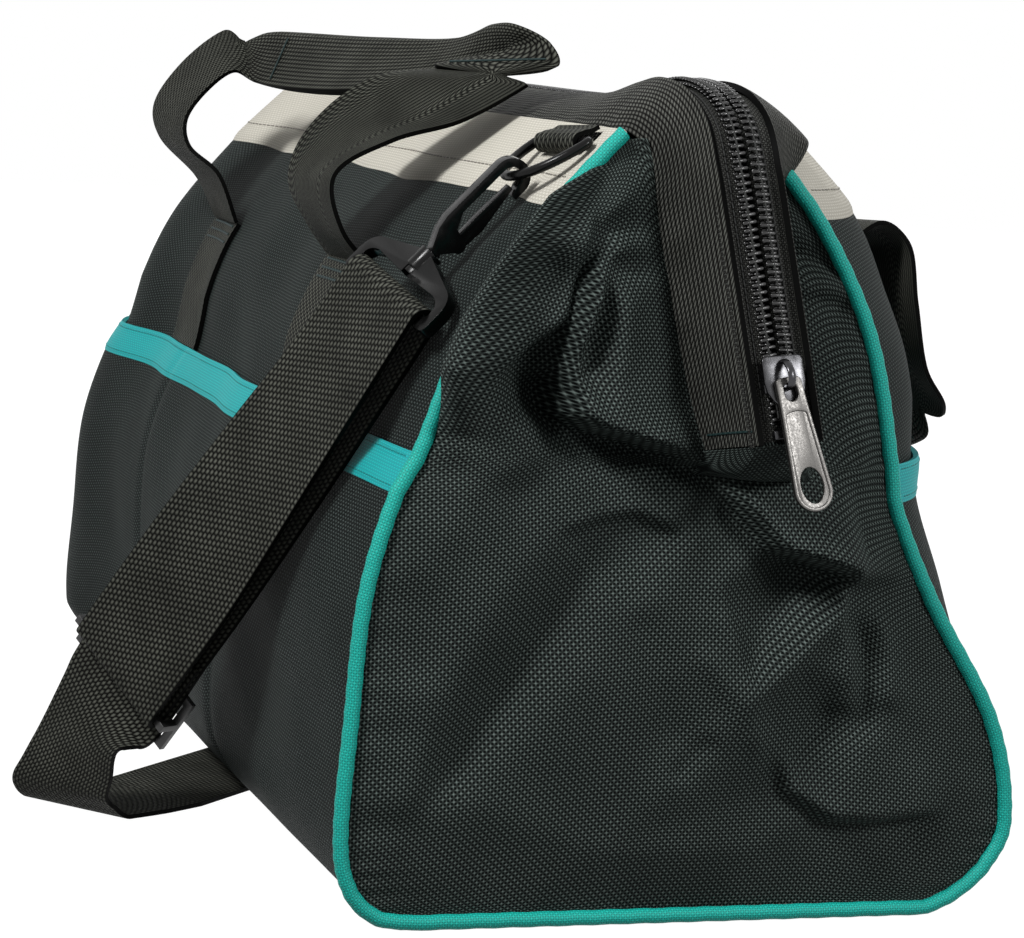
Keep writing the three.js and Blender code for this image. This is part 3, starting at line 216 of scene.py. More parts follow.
def side_waves(side, across, level):
    """The slack of the long sides: shallow waves that die out at the seams."""
    x = (across - 0.5) * 2 * half_length
    edge = np.clip(np.sin(np.pi * np.clip(across, 0, 1)), 0, 1) ** 0.6
    low = np.clip((level + 10) / 60, 0, 1)
    waves = (1.5 * np.sin(x / 41 + level / 60) * np.sin(level / 33 + 0.6)
             + 0.9 * np.sin(x / 19 - level / 27 + side) + 0.5 * np.sin(x / 11 + level / 14))
    gather = 2.2 * np.exp(-((x - 213 + (250 - level) * 0.35) / 9) ** 2) * np.clip((level - 150) / 60, 0, 1)
    return edge * low * waves - (gather if side == front else 0)


def side_point(side, across, level, sink, edge=tuck_in):
    """Points of a long side. across runs from 0 at the far end to 1 at the zip pull's end. The rear puffs
    out beside the near end's pinched seam, and the front at the far end."""
    across, level = np.broadcast_arrays(np.asarray(across, float), np.asarray(level, float))
    pull = np.exp(-14 * (1 - across))
    depth = panel_sink + (sink - panel_sink) * (1 + 0.5 * pull * (side == rear))
    far = seam_point(-1, side, level) + seam_inward(-1, side, level) * depth[..., None]
    near = seam_point(1, side, level) + seam_inward(1, side, level) * depth[..., None]
    point = far + (near - far) * pull[..., None]
    point[..., 0] = (far[..., 0] + edge) * (1 - across) + (near[..., 0] - edge) * across
    belly = belly_depth * np.clip(1 - (2 * across - 1) ** 2, 0, 1) ** 0.8
    if side == rear:
        puff = puff_depth * (1 - pull) * np.exp(-((across - 0.9) / 0.14) ** 2)
        puff = puff * smooth(seam_levels, puff_shares, level)
    else:
        puff = (far_puff_depth + 3 * np.clip((level - 190) / 60, 0, 1)) * np.exp(-((across - 0.1) / 0.075) ** 2)
        puff = puff * np.clip(across / 0.05, 0, 1) * np.clip((level + 20) / 45, 0, 1)
    point[..., 1] += side * (
        belly * smooth(seam_levels, belly_shares, level) + puff + side_waves(side, across, level))
    return point


def side_point_at(side, x, level, sink):
    """The point of a long side at a place along the bag."""
    x, level = np.broadcast_arrays(np.asarray(x, float), np.asarray(level, float))
    low, high = np.zeros_like(x), np.ones_like(x)
    for _ in range(22):
        middle = (low + high) / 2
        before = side_point(side, middle, level, sink)[..., 0] < x
        low, high = np.where(before, middle, low), np.where(before, high, middle)
    return side_point(side, low, level, sink)


def run_along(points):
    """How far each point lies along a line."""
    return np.concatenate([[0], np.cumsum(np.linalg.norm(np.diff(points, axis=0), axis=1))])


def cloth(name, place, columns, rows, thickness, turned=False, keep=None, laid=None, yarn=None):
    """A sheet of cloth: a flat grid laid where place says, for shares across and up, then thickened inwards.
    Its yarns follow the grid, or the points of laid; with a yarn pitch, whole yarns fill the width."""
    bpy.ops.mesh.primitive_grid_add(x_subdivisions=columns, y_subdivisions=rows, size=2)
    piece = bpy.context.object
    piece.name = name
    mesh = piece.data
    flat = np.empty(len(mesh.vertices) * 3)
    mesh.vertices.foreach_get("co", flat)
    share = (flat.reshape(-1, 3)[:, :2] + 1) / 2
    points = np.asarray(place(share[:, 0], share[:, 1]), float).reshape(-1, 3) * mm
    mesh.vertices.foreach_set("co", points.ravel())
    grid = points.reshape(rows + 1, columns + 1, 3)
    spread = grid if laid is None else laid * mm
    along = np.linalg.norm(np.diff(spread, axis=1), axis=2)
    up = np.linalg.norm(np.diff(spread, axis=0), axis=2)
    u = np.concatenate([np.zeros((rows + 1, 1)), np.cumsum(along, 1)], 1)
    v = np.concatenate([np.zeros((1, columns + 1)), np.cumsum(up, 0)], 0)
    u -= u[:, [(columns + 1) // 2]]
    if yarn:
        whole = lambda side: max(round(side.mean() / (yarn * mm)), 1) * yarn * mm
        low_side, high_side = -u[:, :1], u[:, -1:]
        u = np.where(u < 0, u / low_side * whole(low_side), u / high_side * whole(high_side))
    lengths = np.stack([u.ravel(), v.ravel()], 1)
    corners = np.empty(len(mesh.loops), int)
    mesh.loops.foreach_get("vertex_index", corners)
    mesh.uv_layers.active.data.foreach_set("uv", lengths[corners].ravel())
    if keep is not None:
        faces = np.arange(columns * rows)
        bpy.ops.object.mode_set(mode="EDIT")
        bpy.ops.mesh.select_mode(type="FACE")
        bpy.ops.mesh.select_all(action="DESELECT")
        bpy.ops.object.mode_set(mode="OBJECT")
        mesh.polygons.foreach_set("select", ~keep(faces % columns, faces // columns))
        bpy.ops.object.mode_set(mode="EDIT")
        bpy.ops.mesh.delete(type="FACE")
        bpy.ops.mesh.select_mode(type="VERT")
        bpy.ops.object.mode_set(mode="OBJECT")
    if turned:
        mesh.flip_normals()
    wall = piece.modifiers.new("wall", "SOLIDIFY")
    wall.thickness = thickness * mm
    wall.offset = -1
    bpy.ops.object.modifier_apply(modifier="wall")
    bpy.ops.object.shade_smooth_by_angle(angle=math.radians(50))
    return piece


def pick(*pieces):
    """Selects these pieces alone."""
    bpy.ops.object.select_all(action="DESELECT")
    for piece in pieces:
        piece.select_set(True)
    bpy.context.view_layer.objects.active = pieces[0]


def mend(piece, merge=None, flat=None):
    """Merges points closer than merge, joins faces that are flat within some degrees, turns all outwards."""
    pick(piece)
    bpy.ops.object.mode_set(mode="EDIT")
    bpy.ops.mesh.select_all(action="SELECT")
    if merge:
        bpy.ops.mesh.remove_doubles(threshold=merge)
    if flat:
        bpy.ops.mesh.dissolve_limited(angle_limit=math.radians(flat))
    bpy.ops.mesh.normals_make_consistent(inside=False)
    bpy.ops.object.mode_set(mode="OBJECT")


def settle(piece, material, body, slot, *replaced):
    """Gives a finished piece its material, the body that carries it and the nodes that it stands for."""
    piece.data.materials.clear()
    piece.data.materials.append(material)
    bpy.ops.object.select_all(action="DESELECT")
    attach(piece, body)
    if replaced:
        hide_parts(*replaced)


def weave(name, ground, crown, pitches, shape, roughness, specular, bump, depth, patches, wear):
    """Cloth or webbing in yarns over a piece's own lengths, with their pitches in millimetres. shape gives the
    height of the yarns, which are paler the higher they stand, with a depth of contrast: the pale crowns are a
    painted highlight, and the dark holes between them are partly the cloth's own colour, partly painted shade.
    patches are the scale and detail of a noise that wears them, and wear is its factor and its start."""
    material, shader, add = finish(name, ground, roughness, specular=specular)
    calc = lambda operation, *values: add("ShaderNodeMath", *values, operation=operation)
    lengths = add("ShaderNodeSeparateXYZ", add("ShaderNodeUVMap", uv_map="UVMap")).node.outputs
    height = shape(calc, *(calc("MULTIPLY", lengths[k], 1000 / pitches[k]) for k in (0, 1)))
    noise = add("ShaderNodeTexNoise", add("ShaderNodeTexCoord", output=3), None, *patches)
    share = calc("MULTIPLY", calc("POWER", height, depth), calc("MULTIPLY_ADD", noise, *wear))
    links = material.node_tree.links
    # Ground to crown by the yarns' height: a painted highlight on the crowns and painted shade between them.
    links.new(add("ShaderNodeMixRGB", share, (*ground, 1), (*crown, 1)), shader.inputs["Base Color"])
    relief = add("ShaderNodeBump", *bump)
    links.new(height, relief.node.inputs["Height"])
    links.new(relief, shader.inputs["Normal"])
    return material


def woven(name, ground, crown, pitch, roughness, bump, specular=0.3, mottle=0.25, depth=1.0):
    """Plain-woven cloth: round yarn crowns, pale as a painted highlight, with dark holes where four yarns meet,
    partly the cloth's own colour and partly painted shade.
    """

    def crowns(calc, u, v):
        wave = lambda operation, value: calc(operation, calc("MULTIPLY", value, math.pi))
        holes = calc("ABSOLUTE", calc("MULTIPLY", wave("COSINE", u), wave("COSINE", v)))
        # Every other crown is paler, in a checker: a painted sheen of warp against weft.
        alternate_sheen = calc("MULTIPLY_ADD", calc("MULTIPLY", wave("SINE", u), wave("SINE", v)), 0.28, 0.72)
        return calc("MULTIPLY", calc("SUBTRACT", 1.0, calc("POWER", holes, 1.3)), alternate_sheen)

    return weave(name, ground, crown, (pitch, pitch), crowns, roughness, specular, (bump, pitch * 0.35 * mm),
                 depth, (26, 4), (mottle * 2, 1 - mottle))


# The long sides use the ends' cloth with darker crowns: painted shade, a shaded copy of the same fabric.
body_cloth, shaded_side_cloth = (
    woven(name, (0.0012, 0.0016, 0.0016), crown, 1.25, 0.6, 0.7, 0.03, 0.35, 2.6)
    for name, crown in (("body_cloth", (0.145, 0.180, 0.167)), ("shaded_side_cloth", (0.085, 0.106, 0.100))))
band_cloth = woven("band_cloth", (0.42, 0.39, 0.33), (0.74, 0.72, 0.64), 1.25, 0.8, 0.3, mottle=0.08)
binding_tape = woven("binding_tape", (0.002, 0.22, 0.24), (0.010, 0.50, 0.50), 1.1, 0.6, 0.4, mottle=0.1)

side_names = {front: "front", rear: "rear"}
pocket_top, binding_height, band_bottom = 148, 14, 249.3


def flow(low, high):
    """Levels from low to high for shares from 0 to 1."""
    return lambda share: low + (high - low) * share


def behind_pocket(level):
    """How deep the side panel lies: a pocket covers it up to its binding."""
    return 3.05 - 2.3 * np.clip((level - 164) / 20, 0, 1)


def divisions(across):
    """1 along the two seams that divide a pocket, which draw it in."""
    return sum(np.exp(-(((across - 0.5) * 2 * half_length - x) / 4) ** 2) for x in (-90, 70))


def ragged(across):
    """The level of the band's lower edge."""
    return band_bottom + 0.8 * np.sin(across * 17) + 0.3 * np.sin(across * 43 + 1)


for side, name in side_names.items():
    panel_level, pocket_level = flow(-23, band_bottom + 5), flow(-23, pocket_top + 1)
    binding_level = flow(pocket_top, pocket_top + binding_height)
    for piece, columns, rows, thickness, material, slot, node, place in (
        ("panel_cloth", 150, 110, 2, shaded_side_cloth, "fabric", "panel",
         lambda u, v: side_point(side, u, panel_level(v), behind_pocket(panel_level(v)))),
        ("pocket_cloth", 160, 80, 2, shaded_side_cloth, "fabric", "pocket",
         lambda u, v: side_point(side, u, pocket_level(v), panel_sink + 1.2 * divisions(u))),
        ("binding", 150, 10, 2.0, binding_tape, "trim", "pocket_binding",
         lambda u, v: side_point(
             side, u, binding_level(v), 0.45 - 0.5 * np.sin(np.pi * v) ** 0.5 + 0.8 * divisions(u))),
        ("band_cloth", 150, 16, 1.4, band_cloth, "band", "band",
         lambda u, v: side_point(side, u, ragged(u) * (1 - v) + (band_top + 2) * v,
                                 panel_sink - 1.0 * np.clip(8 * v, 0, 1) ** 0.5 - 0.1)),
    ):
        sheet = cloth(f"{name}_{piece}", place, columns, rows, thickness, side == rear)
        settle(sheet, material, "root", slot, f"{name}_{node}")

# The base: the same cloth under a stiff board that is slipped inside. The board keeps its CAD shape.
base_length = 494.5


def base_place(u, v):
    ripple = 0.25 * np.sin(u * 30) * np.sin(v * 14)
    return np.stack([(u - 0.5) * base_length, (v - 0.5) * 2 * base_half_depth, ripple], -1)


base = cloth("base_cloth", base_place, 60, 30, 1.9, turned=True)
settle(base, body_cloth, "root", "fabric", "base_panel")


def grained(name, colour, roughness, grain, gloss=None, relief=None, metallic=0.0, specular=0.5):
    """A hard finish with a grain of some scale, and perhaps detail, which moves its roughness between the
    two values of gloss, or stands up by the strength and height of relief."""
    material, shader, add = finish(name, colour, roughness, metallic, specular)
    noise = add("ShaderNodeTexNoise", add("ShaderNodeTexCoord", output=3), None, *grain)
    links = material.node_tree.links
    if gloss:
        links.new(add("ShaderNodeMapRange", noise, 0.3, 0.7, *gloss), shader.inputs["Roughness"])
    if relief:
        bump = add("ShaderNodeBump", *relief)
        links.new(noise, bump.node.inputs["Height"])
        links.new(bump, shader.inputs["Normal"])
    return material


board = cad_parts["base_board"]
board.data.materials.clear()
board.data.materials.append(grained("board", (0.03, 0.03, 0.03), 0.6, (400,), relief=(0.3, 0.0002)))

# The end panels: one piece of the same cloth, slit from the top for the stiff zip tongue, which pushes
# the slack into a pouch in front of it, a second pouch below the pull and long soft folds.
tongue_top = {1: (half_length + 5, 5, band_top - 11), -1: (-half_length - 5, 0, band_top - 11)}
tongue_foot = {1: (half_length + 32.9, 15.7, band_top - 99), -1: (-half_length - 32.9, 0, band_top - 99)}
root_levels = [167, 184, 209, 242, 262, 272]
root_reach = [249, 243, 236, 229, 228.5, 228]
root_width = {front: [19, 21.6, 23.5, 25.4, 27, 28.4], rear: [19, 20, 21, 21, 14, 11]}
slit_foot = 163
fold_lines = [
    [(240.1, -42.3, 244.6), (242.4, -45.3, 234.6), (245.7, -51.1, 224.3), (247.7, -58.5, 215.6),
    (249.5, -64.7, 208.7), (251.3, -72, 201.7), (253.3, -81, 193.1), (254.1, -87.9, 185.1)],
    [(235.6, -38.5, 240.6), (236.8, -40.4, 230.9), (238.3, -44.4, 218.7), (239.8, -49.2, 206.5),
    (240.2, -52.4, 194.2), (240.3, -55.9, 183.7), (241.3, -55.8, 173.4)], [(244.2, -65.5, 194.2),
    (243.1, -66.3, 185.4), (247.3, -74.8, 183.9)], [(244.9, -38.2, 238.5), (248.1, -41.2, 229),
    (251.4, -45.3, 218.1), (254.8, -50.7, 206.2), (257.1, -53.5, 195), (258.6, -54.4, 185.9),
    (259.3, -53.6, 178.5), (259.2, -50.4, 175.5), (258.9, -41.7, 173.7), (258.7, -30.4, 171.1),
    (258.4, -19, 168.3), (257.2, -9, 165.7)], [(242.8, -50.6, 168.1), (243, -39.1, 165.6),
    (244.3, -24.5, 162.7), (245.6, -9.7, 159.7), (245.8, -0.2, 157.1)], [(254.1, -87.9, 185.1),
    (252.7, -81.7, 180), (252.3, -72.1, 174.3), (251.7, -60.7, 168.4), (250.2, -47, 161.3),
    (249.6, -31.8, 157.1), (249.9, -16.7, 153.9), (249.2, -3.1, 150.6)], [(252.7, -37.7, 197.9)],
    [(246, -24.7, 204.6)], [(252.9, -25.1, 177.5)], [(257.6, -41.8, 181.1)], [(247.4, -35.5, 218.2)],
    [(237.1, -34, 252.2)], [(252.5, -97.1, 171.9)], [(250, -88.9, 195.8)], [(247.2, -73.8, 220)],
    [(241.6, -59, 238.8)], [(251.5, -100.8, 127)], [(255.6, -102.3, 79.2)], [(255.2, -103.3, 44)],
    [(254.1, -85.7, 155.3)], [(253.7, -71.5, 159)], [(250.4, -71.7, 151.6)], [(251.7, -106.6, 27.3),
    (253, -92.3, 50.4), (252.7, -72.5, 78.5), (252.1, -52.3, 104.9), (250.6, -35, 126),
    (250.7, -11.7, 137)], [(255.2, -81.7, 43.8), (256.6, -52, 79.4), (255.9, -24.3, 107.7),
    (255.3, -9.2, 127)], [(256, -98.4, 72.3), (255.9, -82.9, 107.2), (255, -62.8, 133.4)],
    [(255.9, -7.8, 134.4), (257.9, 3, 108.3), (259.2, 11.8, 87.2), (260.6, 19.5, 79.6), (260.7, 35.3, 94.8),
    (260.5, 49.2, 112.8), (262.7, 56.6, 124.5)], [(250.4, 26.5, 114.3), (252.6, 23.2, 96.6)],
    [(250.4, 34.2, 114.3)], [(249.8, 4.6, 157.5), (254.5, 8.3, 150.4), (257.5, 15.6, 138.7),
    (260.1, 22.7, 132.1), (262, 35.2, 132.6), (263.3, 46.5, 129.5), (264.6, 55.7, 126.5),
    (259.9, 56.1, 134.3), (255.1, 56.7, 144.3), (249.8, 57.7, 157.9)], [(254.5, 33, 150.9)],
    [(257.1, 44, 144.4)], [(250.6, 33.1, 125.9), (251.7, 46.3, 122.8), (253, 54.8, 119.5)],
    [(256.5, 52.2, 99.4), (257.3, 66.6, 66.8)], [(249.1, 50.3, 70.4)], [(249.6, 43.3, 59.5)],
    [(256.2, 65.2, 86.7)], [(255.1, 30.5, 45.2), (256.4, 46.2, 37.3), (256.4, 69.8, 37.1),
    (255.1, 89.3, 47.6)], [(252.7, 91.4, 78.6)], [(253, 106.2, 48.9)], [(255.7, -32.7, 25.5)],
    [(254.7, 24.7, 24.3)], [(253.7, 76.2, 23.3)], [(229, 35.3, 237)], [(236.8, 30.5, 223.3),
    (237.5, 45.4, 225.2), (236.3, 57.4, 227.1)], [(236.4, 37.6, 209.3)], [(241.3, 52.4, 192.6)],
    [(244.9, 60.9, 170.1)]
]


def tongue_lean(end, level):
    share = (tongue_top[end][2] - level) / (tongue_top[end][2] - tongue_foot[end][2])
    return tongue_top[end][1] + (tongue_foot[end][1] - tongue_top[end][1]) * np.maximum(share, -0.2)


def root_point(end, side, level):
    """Points where the webbing of the zip tongue leaves the end panel."""
    widths = root_width[rear] if (end == 1 and side == rear) else root_width[front]
    y = tongue_lean(end, level) + side * smooth(root_levels, widths, level)
    return np.stack([end * smooth(root_levels, root_reach, level), y, np.asarray(level, float) + 0 * y], -1)


# Creases as (y, z) lines. A step stands up on the left of its direction by the amount; a ridge stands up
# along it, and below 0 it is a furrow. The reach is how far each dies out.
creases = [
    ("step", 13.1, 20, [(-45.2, 244.7), (-47.3, 225.8), (-53.4, 206.5), (-54.7, 189.9), (-54.5, 177.9),
        (-44.7, 173.3), (-34.2, 171.2), (-20.3, 167.7), (-2.9, 164.7)]),
    ("step", 7, 16, [(-85.1, 183.4), (-66.1, 200.2), (-54.2, 210.3), (-49.8, 224.9), (-45.5, 244),
        (-43.2, 252.3)]),
    ("step", 5.2, 18, [(9.4, 150.1), (-8.2, 157.5), (-32, 165.7), (-55.3, 172.7), (-86.3, 182.5)]),
    ("step", 10.5, 18, [(4, 158.5), (11.3, 147.4), (23.1, 134.1), (39.6, 129.3), (58.3, 123.8)]),
    ("ridge", 4, 4.5, [(1.9, 129.5), (8.2, 108.2), (15.1, 89.6), (18.5, 81.3), (27.8, 89.6),
        (41.8, 104.9), (56.7, 120.2)]),
    ("ridge", -5, 9, [(-36.5, 138.9), (-53.6, 107.4), (-74.2, 75.6), (-98.9, 36.6)]),
    ("step", 3.9, 9, [(-55.7, 135.8), (-41.1, 140.9), (-25.8, 143.7), (-7.3, 136.6)]),
    ("step", 5.6, 14, [(30.1, 63.3), (37.1, 45.4), (54, 35.3), (74.2, 34.3), (103.4, 37.3)]),
    ("ridge", -4.7, 5, [(59.9, 112.1), (63.9, 93.9), (65.2, 63.2)]),
    ("ridge", 3.4, 4, [(51.6, 108.7), (55.5, 92), (56.1, 72)]),
    ("ridge", 3.4, 5, [(67.4, 111.4), (72.5, 93.9), (72.1, 73.8)]),
    ("ridge", -2.8, 3.5, [(7.2, 66.4), (-1.2, 58.5), (-8.1, 49.9)]),
    ("ridge", -4, 3.5, [(27, 237.7), (39.6, 234.1), (54.4, 229.4)]),
    ("ridge", -3.4, 3.5, [(29.3, 218.9), (41.9, 220.1), (56.6, 217.2)]),
    ("ridge", -3.1, 5, [(-75.5, 229.8), (-81.7, 216.6), (-85.2, 201.1)]),
    ("ridge", 3.1, 4, [(-4.7, 100.5), (14.2, 79.1), (25.6, 57.3)]),
    ("ridge", -3.1, 8, [(-24.6, 114.6), (-16.7, 86.2), (-1.1, 57.4)]),
    ("ridge", -3.9, 5, [(61.6, 130.3), (56.4, 144.7), (57.4, 159)]),
]
# The grid of an end panel: columns beside and under the tongue, rows below and beside its slit.
half_columns, middle_columns, low_rows, high_rows = 62, 18, 112, 72


def end_grid(end, levels):
    """The unfolded lie of an end panel: rows of points from the front seam to the rear seam, with the
    strip under the tongue in the middle."""
    rows = []
    for level in levels:
        row = []
        for side in (front, rear):
            edge, other = (
                seam_point(end, s, level) + seam_inward(end, s, level) * tuck_in for s in (side, -side))
            for point in (edge, other):
                point[0] = end * (end_reach(point[2]) - panel_sink)
            goal = root_point(end, side, max(level, slit_foot)) - (0, side * 1.0, 0)
            if level < slit_foot:
                goal = edge + (other - edge) * (goal[1] - edge[1]) / (other[1] - edge[1])
            column = edge + (goal - edge) * np.linspace(0, 1, half_columns + 1)[:, None]
            row.append(column if side == front else column[::-1])
        bridge = np.linspace(0, 1, middle_columns + 1)[1:-1, None]
        rows.append(np.concatenate([row[0], row[0][-1] + (row[1][0] - row[0][-1]) * bridge, row[1]]))
    return np.array(rows)


def crease_height(y, z, kind, amount, reach, line):
    """What a crease adds to the height at each point."""
    line = np.array(line, float)
    best = np.full(y.shape, 1e9)
    signed, place = np.zeros(y.shape), np.zeros(y.shape)
    run = run_along(line)
    for k, (start, stop) in enumerate(zip(line[:-1], line[1:])):
        ahead = (stop - start) / (run[k + 1] - run[k])
        dy, dz = y - start[0], z - start[1]
        along = np.clip(dy * ahead[0] + dz * ahead[1], 0, run[k + 1] - run[k])
        away = np.hypot(dy - along * ahead[0], dz - along * ahead[1])
        nearer = away < best
        best = np.where(nearer, away, best)
        signed = np.where(nearer, np.sign(ahead[0] * dz - ahead[1] * dy) * away, signed)
        place = np.where(nearer, (run[k] + along) / run[-1], place)
    fade = np.clip(place * 5, 0, 1) * np.clip((1 - place) * 5, 0, 1)
    fade = fade * fade * (3 - 2 * fade)
    if kind == "step":
        return amount * fade * np.clip(signed / 2.2, -1, 1) * np.exp(-best / reach)
    return amount * fade * np.exp(-(best / reach) ** 1.5)


def fold_surface(grid, end):
    """Lays the folds over a grid: a sheet through the fold lines and the seams, then the creases."""
    height = grid[:, :, 0].copy()
    fixed = np.zeros(height.shape, bool)
    fixed[0] = fixed[-1] = True
    fixed[:, 0] = fixed[:, -1] = True
    fixed[low_rows:, half_columns:half_columns + middle_columns + 1] = True
    samples = [grid[i, j] for i, j in zip(*np.where(fixed)) if (i + j) % 2 == 0]
    for line in fold_lines:
        points = np.array(line) * ((1, 1, 1) if end == 1 else (-1, -1, 1))
        for start, stop in zip(points[:-1], points[1:]):
            steps = max(2, int(np.linalg.norm(stop - start) / 4))
            samples += [start + (stop - start) * k / steps for k in range(steps)]
        samples.append(points[-1])
    samples = np.array(samples)
    flat = [Vector((y, z)) for _, y, z in samples]
    corners, _, triangles, origins, _, _ = geometry.delaunay_2d_cdt(flat, [], [], 0, 0.01)
    lifted = [Vector((c.x, c.y, samples[origin[0]][0])) for c, origin in zip(corners, origins)]
    tree = BVHTree.FromPolygons(lifted, triangles)
    for i in range(height.shape[0]):
        for j in range(height.shape[1]):
            if not fixed[i, j]:
                hit = tree.ray_cast(Vector((grid[i, j, 1], grid[i, j, 2], 1000)), Vector((0, 0, -1)))[0]
                if hit:
                    height[i, j] = hit.z

    def blur(field, times):
        for _ in range(times):
            blurred = field.copy()
            blurred[1:-1, 1:-1] = field[1:-1, 1:-1] / 2 + (
                field[2:, 1:-1] + field[:-2, 1:-1] + field[1:-1, 2:] + field[1:-1, :-2]) / 8
            field = np.where(fixed, field, blurred)
        return field

    crisp, broad = blur(height, 10), blur(height, 160)
    from_edge = np.minimum(np.arange(height.shape[1]), np.arange(height.shape[1])[::-1])[None, :]
    free = np.clip(from_edge / 7, 0, 1) * ~fixed
    folds = sum(crease_height(grid[:, :, 1] * end, grid[:, :, 2], *crease) for crease in creases)
    return blur(broad + 1.45 * (crisp - broad) + end * folds * free, 2)


roll_column, roll_spread = 4, 6        # the roll's crest and half width, in columns of the grid
roll_low, roll_high = 170, 266
roll_forward, roll_out = 15, 13
calm_spread, calm_times = 9, 70


def lay_roll(grid, levels, column):
    """Draws the slack cloth beside the front seam into a roll over the piping, and calms its ridges first."""
    calm = grid[:, :, 0].copy()
    for _ in range(calm_times):
        calm[1:-1] = (calm[2:] + 2 * calm[1:-1] + calm[:-2]) / 4
    share = np.exp(-((column - 3) / calm_spread) ** 2) * np.clip((levels - 155) / 20, 0, 1) * (column > 0)
    roll = np.exp(-((column - roll_column) / roll_spread) ** 2) * (column > 0)
    roll = roll * np.clip((levels - roll_low) / 24, 0, 1) * np.clip((roll_high - levels) / 12, 0, 1)
    grid[:, :, 1] -= roll_forward * roll
    grid[:, :, 0] += roll_out * roll + (calm - grid[:, :, 0]) * np.clip(1.4 * share, 0, 1)


panel_grids = {}
for end, name in ((1, "right"), (-1, "left")):
    levels = np.concatenate([
        np.linspace(-23, slit_foot, low_rows + 1), np.linspace(slit_foot, 273.5, high_rows + 1)[1:]])[:, None]
    laid = end_grid(end, levels[:, 0])
    grid = laid.copy()
    grid[:, :, 0] = fold_surface(grid, end)
    y, z = grid[:, :, 1], grid[:, :, 2]
    column = np.arange(grid.shape[1])[None, :]
    if end == 1:
        lay_roll(grid, levels, column)
    from_seam = np.minimum(column, column[:, ::-1]) * 1.6
    puckers = 0.45 * np.sin(levels / 2.1 + 2 * np.sin(levels / 13)) * np.exp(-from_seam / 9)
    grain = (0.3 * np.sin(y / 7.3 + z / 11) * np.sin(z / 8.1 - y / 15)
             + 0.5 * np.sin(y / 17 + 1) * np.sin(z / 21))
    grid[:, 1:-1, 0] += end * (puckers + grain * np.clip(from_seam / 15, 0, 1))[:, 1:-1]
    panel_grids[end] = grid
    slit_columns = half_columns, half_columns + middle_columns
    panel = cloth(
        f"{name}_end_cloth", lambda u, v: grid.reshape(-1, 3), grid.shape[1] - 1, grid.shape[0] - 1, 1.8,
        end == -1, laid=laid,
        keep=lambda column, row: (column < slit_columns[0]) | (column >= slit_columns[1]) | (row < low_rows))
    settle(panel, body_cloth, "root", "fabric", f"{name}_end_panel")

# The piping: a cord in a bright bias strip, sewn in all round each end, from one top corner down,
# across the floor and up again.
piping_cloth = woven("piping_cloth", (0.001, 0.17, 0.14), (0.012, 0.55, 0.46), 0.95, 0.55, 0.45, mottle=0.1)


def tube(name, centres, firsts, seconds, radius, sides):
    """A closed round bar through centres, with its ring laid between two directions at each."""
    turns = np.linspace(0, 2 * np.pi, sides, endpoint=False)
    rings = (centres[:, None] + radius * (np.cos(turns)[None, :, None] * firsts[:, None]
             + np.sin(turns)[None, :, None] * seconds[:, None]))
    count = len(centres)
    faces, lengths = [], []
    run = run_along(centres)
    for i in range(count - 1):
        for j in range(sides):
            after = (j + 1) % sides
            faces.append((i * sides + j, (i + 1) * sides + j, (i + 1) * sides + after, i * sides + after))
            around = [2 * np.pi * radius * k / sides for k in (j, j, j + 1, j + 1)]
            lengths += list(zip(around, (run[i], run[i + 1], run[i + 1], run[i])))
    faces += [tuple(range(sides)), tuple(reversed(range((count - 1) * sides, count * sides)))]
    lengths += [(0, 0)] * (2 * sides)
    mesh = bpy.data.meshes.new(name)
    mesh.from_pydata((rings.reshape(-1, 3) * mm).tolist(), [], faces)
    mesh.uv_layers.new(name="UVMap").data.foreach_set("uv", (np.array(lengths) * mm).ravel())
    piece = linked(name, mesh)
    mend(piece)
    bpy.ops.object.shade_smooth_by_angle(angle=math.radians(50))
    return piece


for end, name in ((1, "right"), (-1, "left")):
    climb = np.concatenate([np.linspace(-24, 30, 30), np.linspace(32, band_top + 1, 120)])
    sides_of = {side: (seam_point(end, side, climb), seam_inward(end, side, climb)) for side in (front, rear)}
    floor_steps = np.linspace(0, 1, 60)[1:-1, None]
    across_floor = sides_of[front][0][0] * (1 - floor_steps) + sides_of[rear][0][0] * floor_steps
    centres = np.concatenate([sides_of[front][0][::-1], across_floor, sides_of[rear][0]])
    inwards = np.concatenate([
        sides_of[front][1][::-1], np.tile([0.0, 0.0, 1.0], (len(across_floor), 1)), sides_of[rear][1]])
    wobble = 0.12 * np.sin(np.arange(len(centres)) * 1.7)[:, None]
    bead = tube(
        f"{name}_piping_bead", centres + inwards * wobble, inwards, np.tile([1.0, 0.0, 0.0], (len(centres), 1)),
        piping_radius, 14)
    settle(bead, piping_cloth, "root", "trim", f"{name}_piping")

# The mouth webbing: a wide stiff strap round the zip on each side, from the foot of one end tongue over
# the top to the other, with the zip tape sewn under its inner edge.
zip_corner = [(100, 0, 14), (68, 0, 19), (45, 0, 21.5), (20, 0.2, 18), (5, 0.6, 8)]
webbing_from_zip = 12
corner_start, corner_run = half_length - 45, 65.82
tongue_length = 92.93
bend_start = tongue_length + corner_run
webbing_root, webbing_root_top = 167, 254


